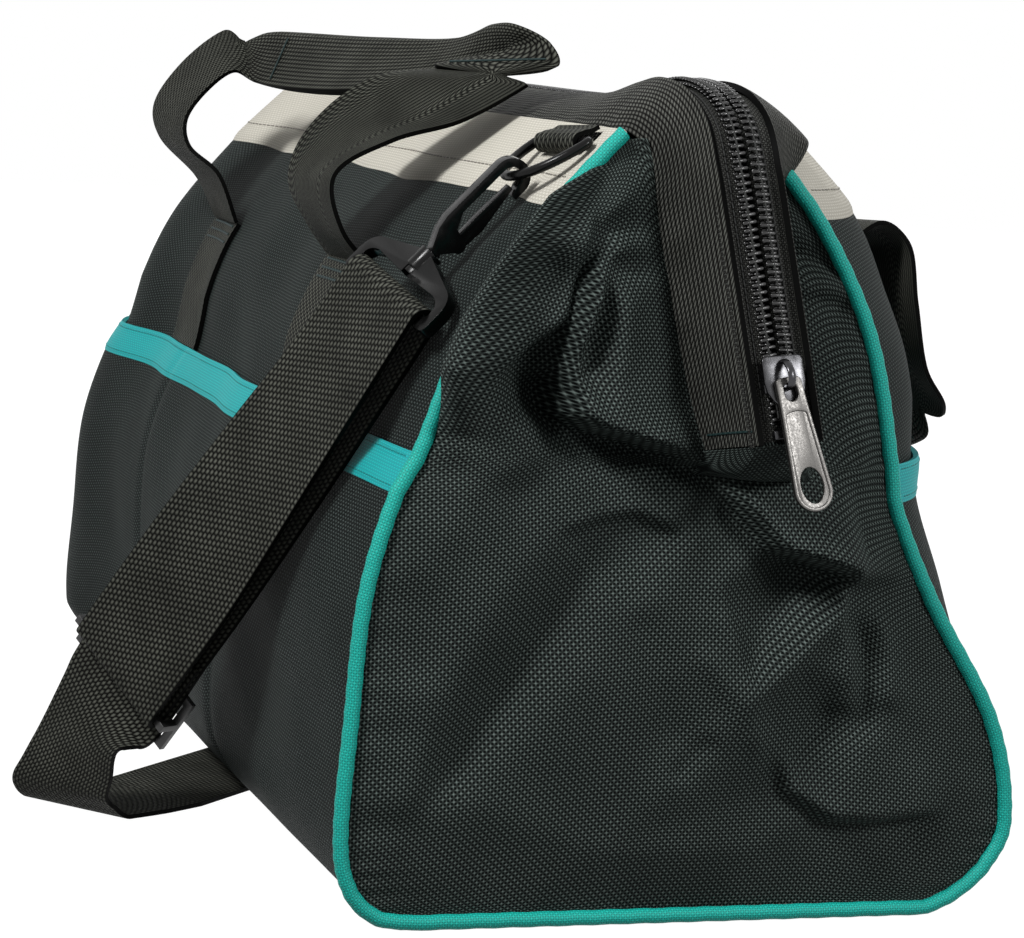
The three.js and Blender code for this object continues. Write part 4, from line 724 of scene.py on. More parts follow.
def curve_through(points, at):
    """A smooth curve through points; at runs from 0 to 1, with the points at even steps."""
    points = np.array(points, float)
    padded = np.concatenate([[2 * points[0] - points[1]], points, [2 * points[-1] - points[-2]]])
    at = np.asarray(at, float) * (len(points) - 1)
    k = np.clip(at.astype(int), 0, len(points) - 2)
    t = (at - k)[:, None]
    p0, p1, p2, p3 = (padded[k + n] for n in range(4))
    gap = lambda a, b: np.maximum(np.sum((a - b) ** 2, -1), 1e-8)[:, None] ** 0.25
    d0, d1, d2 = gap(p0, p1), gap(p1, p2), gap(p2, p3)
    s1 = ((p1 - p0) / d0 - (p2 - p0) / (d0 + d1) + (p2 - p1) / d1) * d1
    s2 = ((p2 - p1) / d1 - (p3 - p1) / (d1 + d2) + (p3 - p2) / d2) * d1
    return (p1 * (2 * t**3 - 3 * t**2 + 1) + s1 * (t**3 - 2 * t**2 + t)
            + p2 * (3 * t**2 - 2 * t**3) + s2 * (t**3 - t**2))


def unit(vectors):
    return vectors / np.linalg.norm(vectors, axis=-1, keepdims=True)


def corner_points(end):
    return [(end * (half_length - back), share * tongue_top[end][1], band_top + above)
            for back, share, above in zip_corner]


arch_points = [
    tongue_top[-1], *corner_points(-1)[::-1], (0, 0, band_top + 13), *corner_points(1), tongue_top[1]]
arch = curve_through(arch_points, np.linspace(0, 1, 3001))
zip_path = np.concatenate([[tongue_foot[-1]], arch, [tongue_foot[1]]])
zip_run = run_along(zip_path)
zip_length = zip_run[-1]


def zip_point(distance):
    return np.stack([np.interp(distance, zip_run, zip_path[:, k]) for k in range(3)], -1)


def zip_frame(distance):
    """Place on the zip line, and the directions ahead, across to the rear, and out."""
    distance = np.clip(distance, 0, zip_length)
    step = 0.004 * zip_length
    ahead = unit(zip_point(np.minimum(distance + step, zip_length)) - zip_point(np.maximum(distance - step, 0)))
    across = unit(np.array([0, 1.0, 0]) - ahead * ahead[..., 1:2])
    return zip_point(distance), ahead, across, np.cross(ahead, across)


def outer_edge(side, distance):
    """Where the webbing meets the band on top, and the end panel beside a tongue."""
    end = 1 if distance > zip_length / 2 else -1
    from_foot = zip_length - distance if end == 1 else distance
    if from_foot >= bend_start:
        return side_point_at(side, zip_point(distance)[0], band_top + 1.6, panel_sink)
    top = root_point(end, side, webbing_root_top)
    if from_foot <= tongue_length:
        share = from_foot / tongue_length
        return root_point(end, side, webbing_root * (1 - share) + webbing_root_top * share)
    corner = root_point(end, side, band_top - 4)
    out, aside, above = (6, 30, 10) if end == 1 and side == rear else (4, -1.5 * side, 4.2)
    corner = np.array([corner[0] + end * out, corner[1] + aside, band_top + above])
    t = (from_foot - tongue_length) / corner_run
    stop = side_point_at(side, end * corner_start, band_top + 1.6, panel_sink)
    return top * (1 - t) ** 2 + corner * 2 * t * (1 - t) + stop * t * t


def belt(name, ground, thread, pitches, bump, stagger=0.5):
    """Heavy webbing: rows of long oval yarns, with each row a share of a yarn on. The pale ovals are a painted
    highlight, on a dark ground that also stands for shade between them.
    """

    def ovals(calc, u, v):
        wave = lambda value: calc("ABSOLUTE", calc("SINE", calc("MULTIPLY", value, math.pi)))
        ridge = lambda value: calc("POWER", wave(value), 0.5)
        return calc("MULTIPLY", ridge(u), ridge(calc("MULTIPLY_ADD", calc("FLOOR", u), stagger, v)))

    return weave(name, ground, thread, pitches, ovals, 0.55, 0.03, (bump, pitches[1] * 0.28 * mm), 3.0,
                 (55, 5), (1.1, 0.3))


mouth_yarn, strap_yarn = 1.95, 1.75
mouth_belt = belt("mouth_belt", (0.0012, 0.0013, 0.0012), (0.15, 0.153, 0.137), (mouth_yarn, 2.15), 0.8, 0.12)
tape_twill = woven("tape_twill", (0.0015, 0.0015, 0.0015), (0.11, 0.113, 0.104), 0.8, 0.7, 0.5, 0.1, 0.1, 2.0)

zip_rows = 220
zip_stations = np.linspace(0, zip_length, zip_rows + 1)
station_point, _, station_across, station_out = zip_frame(zip_stations)
webbing_sink = 0.6           # the webbing's inner edge lies this far below the zip line
tape_inner, tape_width, tape_drop = 1.3, 12.4, 3.9


def webbing_crown(share):
    """How far the webbing stands up between its edges."""
    return 1.5 * np.sin(np.pi * share) ** 0.8


for side, side_name in side_names.items():
    outer_line = np.array([outer_edge(side, distance) for distance in zip_stations])
    inner_line = station_point + station_across * side * webbing_from_zip - webbing_sink * station_out

    def webbing_place(u, v):
        row = np.round(v * zip_rows).astype(int)
        crown = webbing_crown(u) + 0.25 * np.sin(row * 0.9) * u * u
        return (inner_line[row] * (1 - u)[:, None] + outer_line[row] * u[:, None]
                + station_out[row] * crown[:, None])

    webbing = cloth(f"{side_name}_mouth_belt", webbing_place, 14, zip_rows, 2.2, side == rear, yarn=mouth_yarn)
    settle(webbing, mouth_belt, "root", "webbing", f"{side_name}_mouth_webbing")

    def tape_place(u, v):
        row = np.round(v * zip_rows).astype(int)
        reach = tape_inner + tape_width * u
        drop = 0.5 * np.clip(u - 0.5, 0, 1) - tape_drop
        return (station_point[row] + station_across[row] * (side * reach)[:, None]
                + station_out[row] * drop[:, None])

    tape = cloth(f"{side_name}_tape_strip", tape_place, 8, zip_rows, 1.1, side == rear)
    settle(tape, tape_twill, "root", "zip_tape", f"{side_name}_zip_tape")

# The zip teeth: a nylon coil sewn on each tape, with a chain of thread along it, and a metal stop at
# each end.
tooth_pitch = 2.75
coil_nylon = grained("coil_nylon", (0.0035, 0.0035, 0.0035), 0.22, (900,), (0.14, 0.3), specular=0.6)


def thread_finish(name, colour):
    """Sewing thread: fine twisted bands along each stitch."""
    material, shader, add = finish(name, colour, 0.6, specular=0.3)
    twist = add("ShaderNodeTexWave", add("ShaderNodeTexCoord", output=3), 600, bands_direction="DIAGONAL")
    tone = add("ShaderNodeMixRGB", twist, (*(0.45 * np.array(colour)), 1), (*colour, 1))
    material.node_tree.links.new(tone, shader.inputs["Base Color"])
    return material


def capsules(name, starts, stops, ups, radius, flat=1.0, sides=7):
    """Many short round-ended bars as one mesh; flat below 1 presses them down along ups."""
    starts, stops, ups = (np.asarray(values, float) for values in (starts, stops, ups))
    axis = unit(stops - starts)
    across = unit(np.cross(axis, ups))
    up = np.cross(across, axis)
    turns = np.linspace(0, 2 * np.pi, sides, endpoint=False)
    rings = [(0, -1, 0.3), (0, -0.7, 0.72), (0, 0, 1), (1, 0, 1), (1, 0.7, 0.72), (1, 1, 0.3)]
    points = np.empty((len(starts), len(rings), sides, 3))
    for k, (share, beyond, size) in enumerate(rings):
        centre = starts + (stops - starts) * share + axis * beyond * radius
        points[:, k] = (centre[:, None] + size * radius * (np.cos(turns)[None, :, None] * across[:, None]
                        + flat * np.sin(turns)[None, :, None] * up[:, None]))
    faces = []
    for k in range(len(rings) - 1):
        low, high = k * sides, (k + 1) * sides
        faces += [(low + j, low + (j + 1) % sides, high + (j + 1) % sides, high + j) for j in range(sides)]
    ends = [tuple(reversed(range(sides))), tuple(range((len(rings) - 1) * sides, len(rings) * sides))]
    each = len(rings) * sides
    every = [tuple(corner + n * each for corner in face) for n in range(len(starts)) for face in faces + ends]
    mesh = bpy.data.meshes.new(name)
    mesh.from_pydata((points.reshape(-1, 3) * mm).tolist(), [], every)
    mesh.polygons.foreach_set("use_smooth", [True] * len(mesh.polygons))
    return linked(name, mesh)


coil_thread = thread_finish("coil_thread", (0.012, 0.013, 0.012))
for side, side_name in side_names.items():
    at = np.arange(6 + (tooth_pitch / 2 if side == rear else 0), zip_length - 6, tooth_pitch)
    point, ahead, across, out = zip_frame(at)
    place = lambda w, n, along=0: point + side * w * across + n * out + along * ahead
    teeth = capsules(
        f"{side_name}_teeth",
        np.concatenate([place(1.15, -0.85, -0.2), place(1.15, -1.1), place(2.2, -2.5, tooth_pitch / 2)]),
        np.concatenate([place(5.2, -0.8, 0.25), place(1.6, -1.1), place(5.3, -2.4, tooth_pitch / 2)]),
        np.concatenate([out, out, out]), 0.76)
    settle(teeth, coil_nylon, "root", "zip_teeth", f"{side_name}_zip_coil")
    middle = zip_frame(at[:-1] + tooth_pitch / 2)
    chain_at = lambda w, n, along: middle[0] + side * w * middle[2] + n * middle[3] + along * middle[1]
    chain = capsules(
        f"{side_name}_coil_chain", np.concatenate([chain_at(3.5, -0.35, -1.1), chain_at(7.3, -3.6, -0.9)]),
        np.concatenate([chain_at(3.5, -0.35, 1.1), chain_at(7.3, -3.6, 0.9)]),
        np.concatenate([middle[3], middle[3]]), 0.42)
    settle(chain, coil_thread, "root", "zip_tape")

# Sewing that shows on the shell: the dashes along the pale bands, both edges of the pocket binding and
# the cut ends of the mouth webbing.
pale_thread = thread_finish("pale_thread", (0.30, 0.28, 0.24))
teal_thread = thread_finish("teal_thread", (0.004, 0.30, 0.30))
dark_thread = thread_finish("dark_thread", (0.004, 0.022, 0.022))


def stitches(name, line, outward, length, pitch, radius, material, slot, body="root"):
    """A row of stitches along a line, with the outward direction at each of its points."""
    run = run_along(line)
    starts = np.arange(pitch / 2, run[-1] - length, pitch)
    at = lambda values, distance: np.stack([np.interp(distance, run, values[:, k]) for k in range(3)], -1)
    up = unit(at(outward, starts))
    row = capsules(name, at(line, starts), at(line, starts + length), up, radius, 0.7, 6)
    settle(row, material, body, slot)


across_side = np.linspace(0.012, 0.988, 400)
for side, side_name in side_names.items():
    outwards = np.tile([0.0, side * 0.8, 0.6], (400, 1))
    stitches(
        f"{side_name}_band_stitches", side_point(side, across_side, band_bottom + 8.5, panel_sink - 1.15),
        outwards, 2.3, 3.8, 0.34, pale_thread, "band")
    for level, label in ((pocket_top + 2, "lower"), (pocket_top + binding_height - 2, "upper")):
        line = side_point(side, across_side, level, 0.12 + 0.8 * divisions(across_side))
        stitches(f"{side_name}_binding_{label}_stitches", line, outwards, 2.0, 3.0, 0.3, teal_thread, "trim")

# Below each tongue the end fabric is drawn out to the cut end of the webbing, which is turned under and
# sewn down.
hem_width = 5
for end, name in ((1, "right"), (-1, "left")):
    distance = zip_length if end == 1 else 0.0
    foot, _, across, out = zip_frame(distance)
    knots = [outer_edge(front, distance), foot - across * webbing_from_zip, foot,
             foot + across * webbing_from_zip, outer_edge(rear, distance)]
    knots = [knot - out * (2.6 if 0 < k < 4 else 0.4) for k, knot in enumerate(knots)]
    low_row = panel_grids[end][low_rows - 3]
    low_y = np.argsort(low_row[:, 1])

    def gusset_place(u, v):
        top = np.stack([np.interp(u, np.linspace(0, 1, 5), np.array(knots)[:, k]) for k in range(3)], -1)
        y = knots[0][1] - 2 + (knots[4][1] + 2 - knots[0][1] + 2) * u
        low = np.stack([np.interp(y, low_row[low_y, 1], low_row[low_y, k]) for k in range(3)], -1)
        low[:, 0] += end * 0.4
        point = top * (1 - v)[:, None] + low * v[:, None]
        point[:, 2] -= 5 * np.sin(np.pi * v) * np.sin(np.pi * u)
        point[:, 0] += end * 1.2 * np.sin(np.pi * v) * np.sin(9 * u)
        return point

    gusset = cloth(f"{name}_tongue_gusset", gusset_place, 40, 16, 1.4, end == 1)
    settle(gusset, body_cloth, "root", "fabric")
    for side, side_name in side_names.items():
        at = distance - end * hem_width
        place, _, across, out = zip_frame(at)
        share = np.linspace(0.06, 0.94, 30)[:, None]
        inner = place + across * side * webbing_from_zip - webbing_sink * out
        line = inner * (1 - share) + outer_edge(side, at) * share + out * (webbing_crown(share) + 0.1)
        stitches(f"{name}_{side_name}_hem_stitches", line, np.tile(out, (30, 1)), 2.4, 3.1, 0.5,
                 dark_thread, "webbing")

# The slider and its pull: die-cast, with a shield-shaped plate, an arched bail, and a long pull with a
# window, a sunk panel and an oval hole.
gunmetal = grained("gunmetal", (0.055, 0.055, 0.058), 0.24, (500,), (0.16, 0.34), None, 0.95)
satin = grained("satin_metal", (0.11, 0.106, 0.101), 0.4, (1400, 3), (0.26, 0.46), (0.12, 0.00008), 0.85, 0.3)


def arc(x, y, radius, start, stop, steps=10, stretch=1.0):
    turns = np.radians(np.linspace(start, stop, steps + 1))
    return [(x + radius * math.cos(turn), y + stretch * radius * math.sin(turn)) for turn in turns]


def curve_plate(name, loops, half, edge, place):
    """A plate with rounded edges from flat outlines in millimetres; the first is the outside."""
    curve = bpy.data.curves.new(name, "CURVE")
    curve.dimensions = "2D"
    curve.fill_mode = "BOTH"
    curve.extrude = half - edge
    curve.bevel_depth = edge
    curve.bevel_resolution = 2
    curve.offset = -edge
    for loop in loops:
        spline = curve.splines.new("POLY")
        spline.points.add(len(loop) - 1)
        spline.points.foreach_set("co", [value for x, y in loop for value in (x, y, 0, 1)])
        spline.use_cyclic_u = True
    pick(linked(name, curve))
    bpy.ops.object.convert(target="MESH")
    piece = bpy.context.object
    mend(piece, 0.001)
    piece.data.transform(place)
    bpy.ops.object.shade_smooth_by_angle(angle=math.radians(40))
    return piece


def on_zip(distance, lift):
    """Places local millimetres on the zip line: x ahead, y across and z out."""
    point, ahead, across, out = zip_frame(distance)
    basis = Matrix((Vector(ahead), Vector(across), Vector(out))).transposed().to_4x4()
    basis.translation = Vector(point + out * lift)
    return Matrix.Scale(mm, 4) @ basis


def placed(matrix, points):
    return np.array([(matrix @ Vector(point))[:] for point in points]) / mm


def join(pieces, name):
    pick(*pieces)
    bpy.ops.object.join()
    whole = bpy.context.object
    whole.name = name
    return whole


slider_at = zip_length - 21
top_plate, lower_plate, bar_height = 0.45, -5.65, 3.55
shield = [(-9, -5.6), (-8.6, -7.0), (-7.4, -7.5), (0, -7.6), (3.6, -6.9), (6.8, -4.9), (8.8, -2.4), (9.3, 0)]
shield += [(x, -y) for x, y in shield[-2::-1]]
lower_outline = [(-8, -5), (-7, -6.6), (2, -7), (7, -4.6), (9, 0), (7, 4.6), (2, 7), (-7, 6.6), (-8, 5)]
slider_bits = [
    curve_plate("plate", [shield], 0.8, 0.45, on_zip(slider_at, top_plate + 0.8)),
    curve_plate("under", [lower_outline], 0.8, 0.3, on_zip(slider_at, lower_plate - 0.8)),
    curve_plate("dividing_post", [arc(5.5, 0, 2.0, 0, 345, 14, 0.14)], 3.3, 0.1, on_zip(slider_at, -2.4)),
]
for s in front, rear:
    rail = [(-7, s * 6.35), (3.5, s * 6.35), (3.5, s * 7.5), (-7, s * 7.5)]
    slider_bits.append(curve_plate("rail", [rail], 1.5, 0.25, on_zip(slider_at, -0.7)))
bail_line = curve_through([
    (-6.9, 0, 1.6), (-6.6, 0, 4.1), (-4.9, 0, 6.2), (-2.5, 0, 7.7), (0.4, 0, 7.7), (2.2, 0, 6.3),
    (2.8, 0, 4.0), (2.7, 0, 1.6)], np.linspace(0, 1, 40))
bail_out = np.gradient(bail_line, axis=0)
bail_out = unit(np.stack([-bail_out[:, 2], 0 * bail_out[:, 0], bail_out[:, 0]], -1))
bail_place = on_zip(slider_at, 0)
turn_only = np.array(bail_place.to_3x3()) / mm
slider_bits.append(tube("bail", placed(bail_place, bail_line), bail_out @ turn_only.T * 0.75,
                        np.tile(turn_only @ (0, 1.45, 0), (40, 1)), 1, 12))
slider = join(slider_bits, "slider_casting")
settle(slider, gunmetal, "slider", "zip_metal", "slider_body")

pull_outline = ([(-1.0, -2.6)] + arc(1.2, -2.6, 2.2, 180, 270, 6) + [(9.4, -5.1)] + arc(39, 0, 7, -90, 90, 28)
                + [(9.4, 5.1)] + arc(1.2, 2.6, 2.2, 90, 180, 6))
window = arc(5.0, 0, 2.5, -90, 90, 10) + arc(3.5, 0, 2.5, 90, 270, 10)
eyelet = arc(36.9, 0, 6.3, 0, 350, 35, 4.3 / 6.3)
sunk = arc(12.4, 0, -1.3, -90, 90, 8, 3.9 / 1.3) + arc(39, 0, 5.7, -90, 90, 24)
pull_lean = 5
pull_place = on_zip(slider_at, bar_height) @ Matrix.Rotation(math.radians(pull_lean), 4, "Z")
pull = join([curve_plate("pull_rim", [pull_outline, window, sunk], 1.1, 0.35, pull_place),
             curve_plate("pull_core", [pull_outline, window, eyelet], 0.62, 0.2, pull_place)], "pull_tab")
settle(pull, satin, "pull", "pull_metal", "zip_pull")


def bevelled(node, name, width, material, body, slot, segments=3, angle=30):
    """A copy of a hard CAD node with its edges rounded."""
    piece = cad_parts[node].copy()
    piece.data = piece.data.copy()
    piece.name = name
    bpy.context.scene.collection.objects.link(piece)
    mend(piece, 0.00002, 1)
    edges = piece.modifiers.new("edges", "BEVEL")
    edges.width = width * mm
    edges.segments = segments
    edges.limit_method = "ANGLE"
    edges.angle_limit = math.radians(angle)
    bpy.ops.object.modifier_apply(modifier="edges")
    bpy.ops.object.shade_smooth_by_angle(angle=math.radians(40))
    settle(piece, material, body, slot, node)
    return piece


for name in ("left", "right"):
    bevelled(f"{name}_zip_stop", f"{name}_stop_clip", 0.4, gunmetal, "root", "zip_metal")

# The clip hardware at the front right and rear left corners: a wire ring in a folded tab, and a black
# snap hook that turns in the collar of the strap's eye.
black_metal = grained(
    "black_metal", (0.003, 0.003, 0.003), 0.2, (260,), (0.16, 0.3), (0.08, 0.0001), specular=0.17)

strap_belt = belt("strap_belt", (0.0013, 0.0014, 0.0012), (0.125, 0.129, 0.109), (strap_yarn, 2.6), 0.8)
ring_centre = np.array([199.0, -45.57, 269.63])
ring_along = np.array([0.98655, 0.1533, 0.05669])
ring_drop = unit(np.array([0.16, -0.83, -0.54]))
tab_up = np.array([-0.1489, 0.6999, 0.6985])
tab_out = np.array([0.0674, -0.6976, 0.7133])
half_bar, bow_depth = 20, 24.2
bow = math.pi * math.sqrt((half_bar**2 + bow_depth**2) / 2)
along_ring = np.linspace(0.25, 2 * half_bar + bow - 0.25, 120)
turn = np.pi * np.clip((along_ring - half_bar) / bow, 0, 1)
ring_x = np.where(along_ring < half_bar, along_ring, half_bar * np.cos(turn))
ring_x = np.where(along_ring > half_bar + bow, along_ring - bow - 2 * half_bar, ring_x)
ring_y = bow_depth * np.sin(turn)
for name, half_turn in (("front", 1), ("rear", -1)):
    spin = np.array([half_turn, half_turn, 1])
    line = (ring_centre + ring_x[:, None] * ring_along + ring_y[:, None] * ring_drop) * spin
    flat_normal = np.tile(np.cross(ring_along, ring_drop) * spin, (120, 1))
    outwards = unit(np.cross(flat_normal, np.gradient(line, axis=0)))
    ring = tube(f"{name}_wire_ring", line, outwards, flat_normal, 1.8, 16)
    settle(ring, black_metal, f"{name}_dring", "black_metal", f"{name}_dring")
    fold = [(-2.2 * math.sin(a), -2.2 * math.cos(a)) for a in np.linspace(0, math.pi, 14)]
    tab_line = np.array([(7.6, -2.2), (5, -2.2), (2, -2.2), *fold, (3, 0.9), (5.4, -0.6), (8.4, -1.4)])

    def tab_place(u, v):
        at = v * (len(tab_line) - 1)
        rise, lift = (np.interp(at, np.arange(len(tab_line)), tab_line[:, k]) for k in (0, 1))
        return (ring_centre + ((u - 0.5) * 30)[:, None] * ring_along + rise[:, None] * tab_up
                + lift[:, None] * tab_out) * spin

    tab = cloth(f"{name}_ring_tab", tab_place, 12, 38, 1.6, turned=True, yarn=strap_yarn)
    settle(tab, strap_belt, "root", "webbing", f"{name}_dring_tab")
    bevelled(f"{name}_hook", f"{name}_snap_hook", 1.1, black_metal, f"{name}_hook", "black_metal", 4)
    bevelled(f"{name}_hook_gate", f"{name}_gate_lever", 0.6, black_metal, f"{name}_gate", "black_metal")
    bevelled(f"{name}_hook_eye", f"{name}_strap_eye", 1.3, black_metal, "root", "black_metal", 4)

# The carry handles: 50 mm webbing, sewn flat on the sides up to a bar tack, then free. Between two rows
# of stitches the webbing is folded double for the grip.
leg_lift, leg_foot, leg_top, strap_thickness = 2.2, 162.3, 217, 1.7
# Each loop has two edges in rows of x, the way out from the side and the way up from the tack, and the
# rows between which the fold comes and goes.
loops = {
    front: (
        [(-125, 0, 0), (-126, 9, 17), (-130, 26, 34), (-131, 29, 46), (-126, 20, 64), (-116, 3, 81),
         (-90, -9, 83), (0, -35, 84), (60, -52, 86), (96, -54, 92), (118, -56, 92), (132, -65, 86),
         (138, -67, 78), (132, -57, 69), (126, -34, 54), (124, -8, 45), (124, 13, 31), (125, 9, 12),
         (125, 0, 0)],
        [(-75, 0, 0), (-77, 11, 21), (-84, 23, 32), (-88, 24, 42), (-92, 15, 55), (-94, 3, 64), (-86, -3, 61),
         (0, -18, 60), (56, -38, 66), (88, -54, 72), (99, -59, 77), (96, -50, 78), (91, -34, 74), (84, -10, 67),
         (78, 3, 57), (75, 15, 40), (74, 17, 26), (75, 9, 11), (75, 0, 0)], (5.0, 6.2, 12.0, 13.0)),
    rear: (
        [(-125, 0, 0), (-126, 7, 16), (-127, 20, 26), (-128, 32, 18), (-128, 38, -6), (-127, 45, -32),
         (-120, 58, -48), (-100, 62, -62), (-60, 64, -74), (0, 66, -78), (60, 64, -74), (100, 62, -62),
         (120, 58, -48), (127, 45, -32), (128, 38, -6), (128, 32, 18), (127, 20, 26), (126, 7, 16),
         (125, 0, 0)],
        [(-75, 0, 0), (-76, 7, 16), (-77, 20, 24), (-79, 31, 15), (-82, 36, -6), (-88, 40, -24),
         (-92, 44, -34), (-84, 48, -44), (-56, 50, -51), (0, 52, -54), (56, 50, -51), (84, 48, -44),
         (92, 44, -34), (88, 40, -24), (82, 36, -6), (79, 31, 15), (77, 20, 24), (76, 7, 16), (75, 0, 0)],
        (6.2, 7.2, 10.8, 11.8)),
}


def leg_face(level):
    return behind_pocket(level) - leg_lift


def tack_point(side, x):
    return side_point_at(side, x, leg_top + 0.35, panel_sink - leg_lift)


for side, handle in side_names.items():
    for leg, middle_x in (("left", -100), ("right", 100)):
        level_at = flow(leg_foot, leg_top)
        leg_cloth = cloth(
            f"{handle}_{leg}_leg_belt",
            lambda u, v: side_point_at(side, middle_x + (u - 0.5) * 50, level_at(v), leg_face(level_at(v))),
            20, 40, strap_thickness, side == rear, yarn=strap_yarn)
        settle(leg_cloth, strap_belt, "root", "webbing", f"{handle}_handle_{leg}_leg")
        x = np.linspace(middle_x - 22.5, middle_x + 22.5, 30)
        for level in (leg_top - 2, leg_top - 5.5, leg_top - 9):
            line = side_point_at(side, x, np.full(30, level), leg_face(level) - 0.15)
            stitches(f"{handle}_{leg}_tack_{level:.0f}", line, np.tile([0, side * 0.8, 0.6], (30, 1)),
                     2.2, 2.8, 0.55, dark_thread, "webbing")
    outer_table, inner_table, (fold_in, folded, still, fold_out) = loops[side]
    ends = [tack_point(side, -100), tack_point(side, 100)]

    def edge_line(table):
        line = []
        for k, (x, away, up) in enumerate(table):
            if k in (0, len(table) - 1):
                line.append(tack_point(side, x) + (0, side * away, up))
            else:
                share = min(max((x / 100 + 1) / 2, 0), 1)
                line.append(ends[0] * (1 - share) + ends[1] * share + (0, side * away, up))
                line[-1][0] = x
        return line

    loop_rows = 260
    steps = np.linspace(0, 1, loop_rows + 1)
    edge_a, edge_b = curve_through(edge_line(outer_table), steps), curve_through(edge_line(inner_table), steps)
    at = steps * (len(outer_table) - 1)
    fold_share = (np.clip((at - fold_in) / (folded - fold_in), 0, 1)
                  * np.clip((fold_out - at) / (fold_out - still), 0, 1))
    fold_share = fold_share**2 * (3 - 2 * fold_share)
    heading = unit(np.gradient((edge_a + edge_b) / 2, axis=0))
    face = unit(np.cross(heading, edge_a - edge_b)) * (1 if side == front else -1)

    def loop_place(u, v):
        row = np.round(v * loop_rows).astype(int)
        a, b, share = edge_a[row], edge_b[row], fold_share[row][:, None]
        w = u[:, None]
        flat = a + (b - a) * w
        near = np.abs(2 * w - 1)
        puffed = (2.0 if side == front else 1.3) * np.clip(near * 9, 0, 1) ** 0.5 * np.sign(0.5 - w)
        doubled = b + (a - b) * (1 - near) + face[row] * puffed
        ripple = 0.35 * np.sin(np.pi * w) * np.sin(row[:, None] / 9.0)
        return flat * (1 - share) + doubled * share + face[row] * ripple

    loop = cloth(
        f"{handle}_grip_belt", loop_place, 28, loop_rows, strap_thickness, side == front, yarn=strap_yarn)
    settle(loop, strap_belt, f"{handle}_handle", "webbing", f"{handle}_handle_loop")
    for k, mark in enumerate((folded + 0.1, still - 0.1)):
        row = int(round(mark / (len(outer_table) - 1) * loop_rows))
        share = np.linspace(0.06, 0.94, 20)[:, None]
        line = edge_a[row] * share + edge_b[row] * (1 - share) + face[row] * 2.3
        stitches(f"{handle}_grip_stitches_{k}", line, np.tile(face[row], (20, 1)), 2.3, 2.7, 0.5, dark_thread,
                 "webbing", f"{handle}_handle")

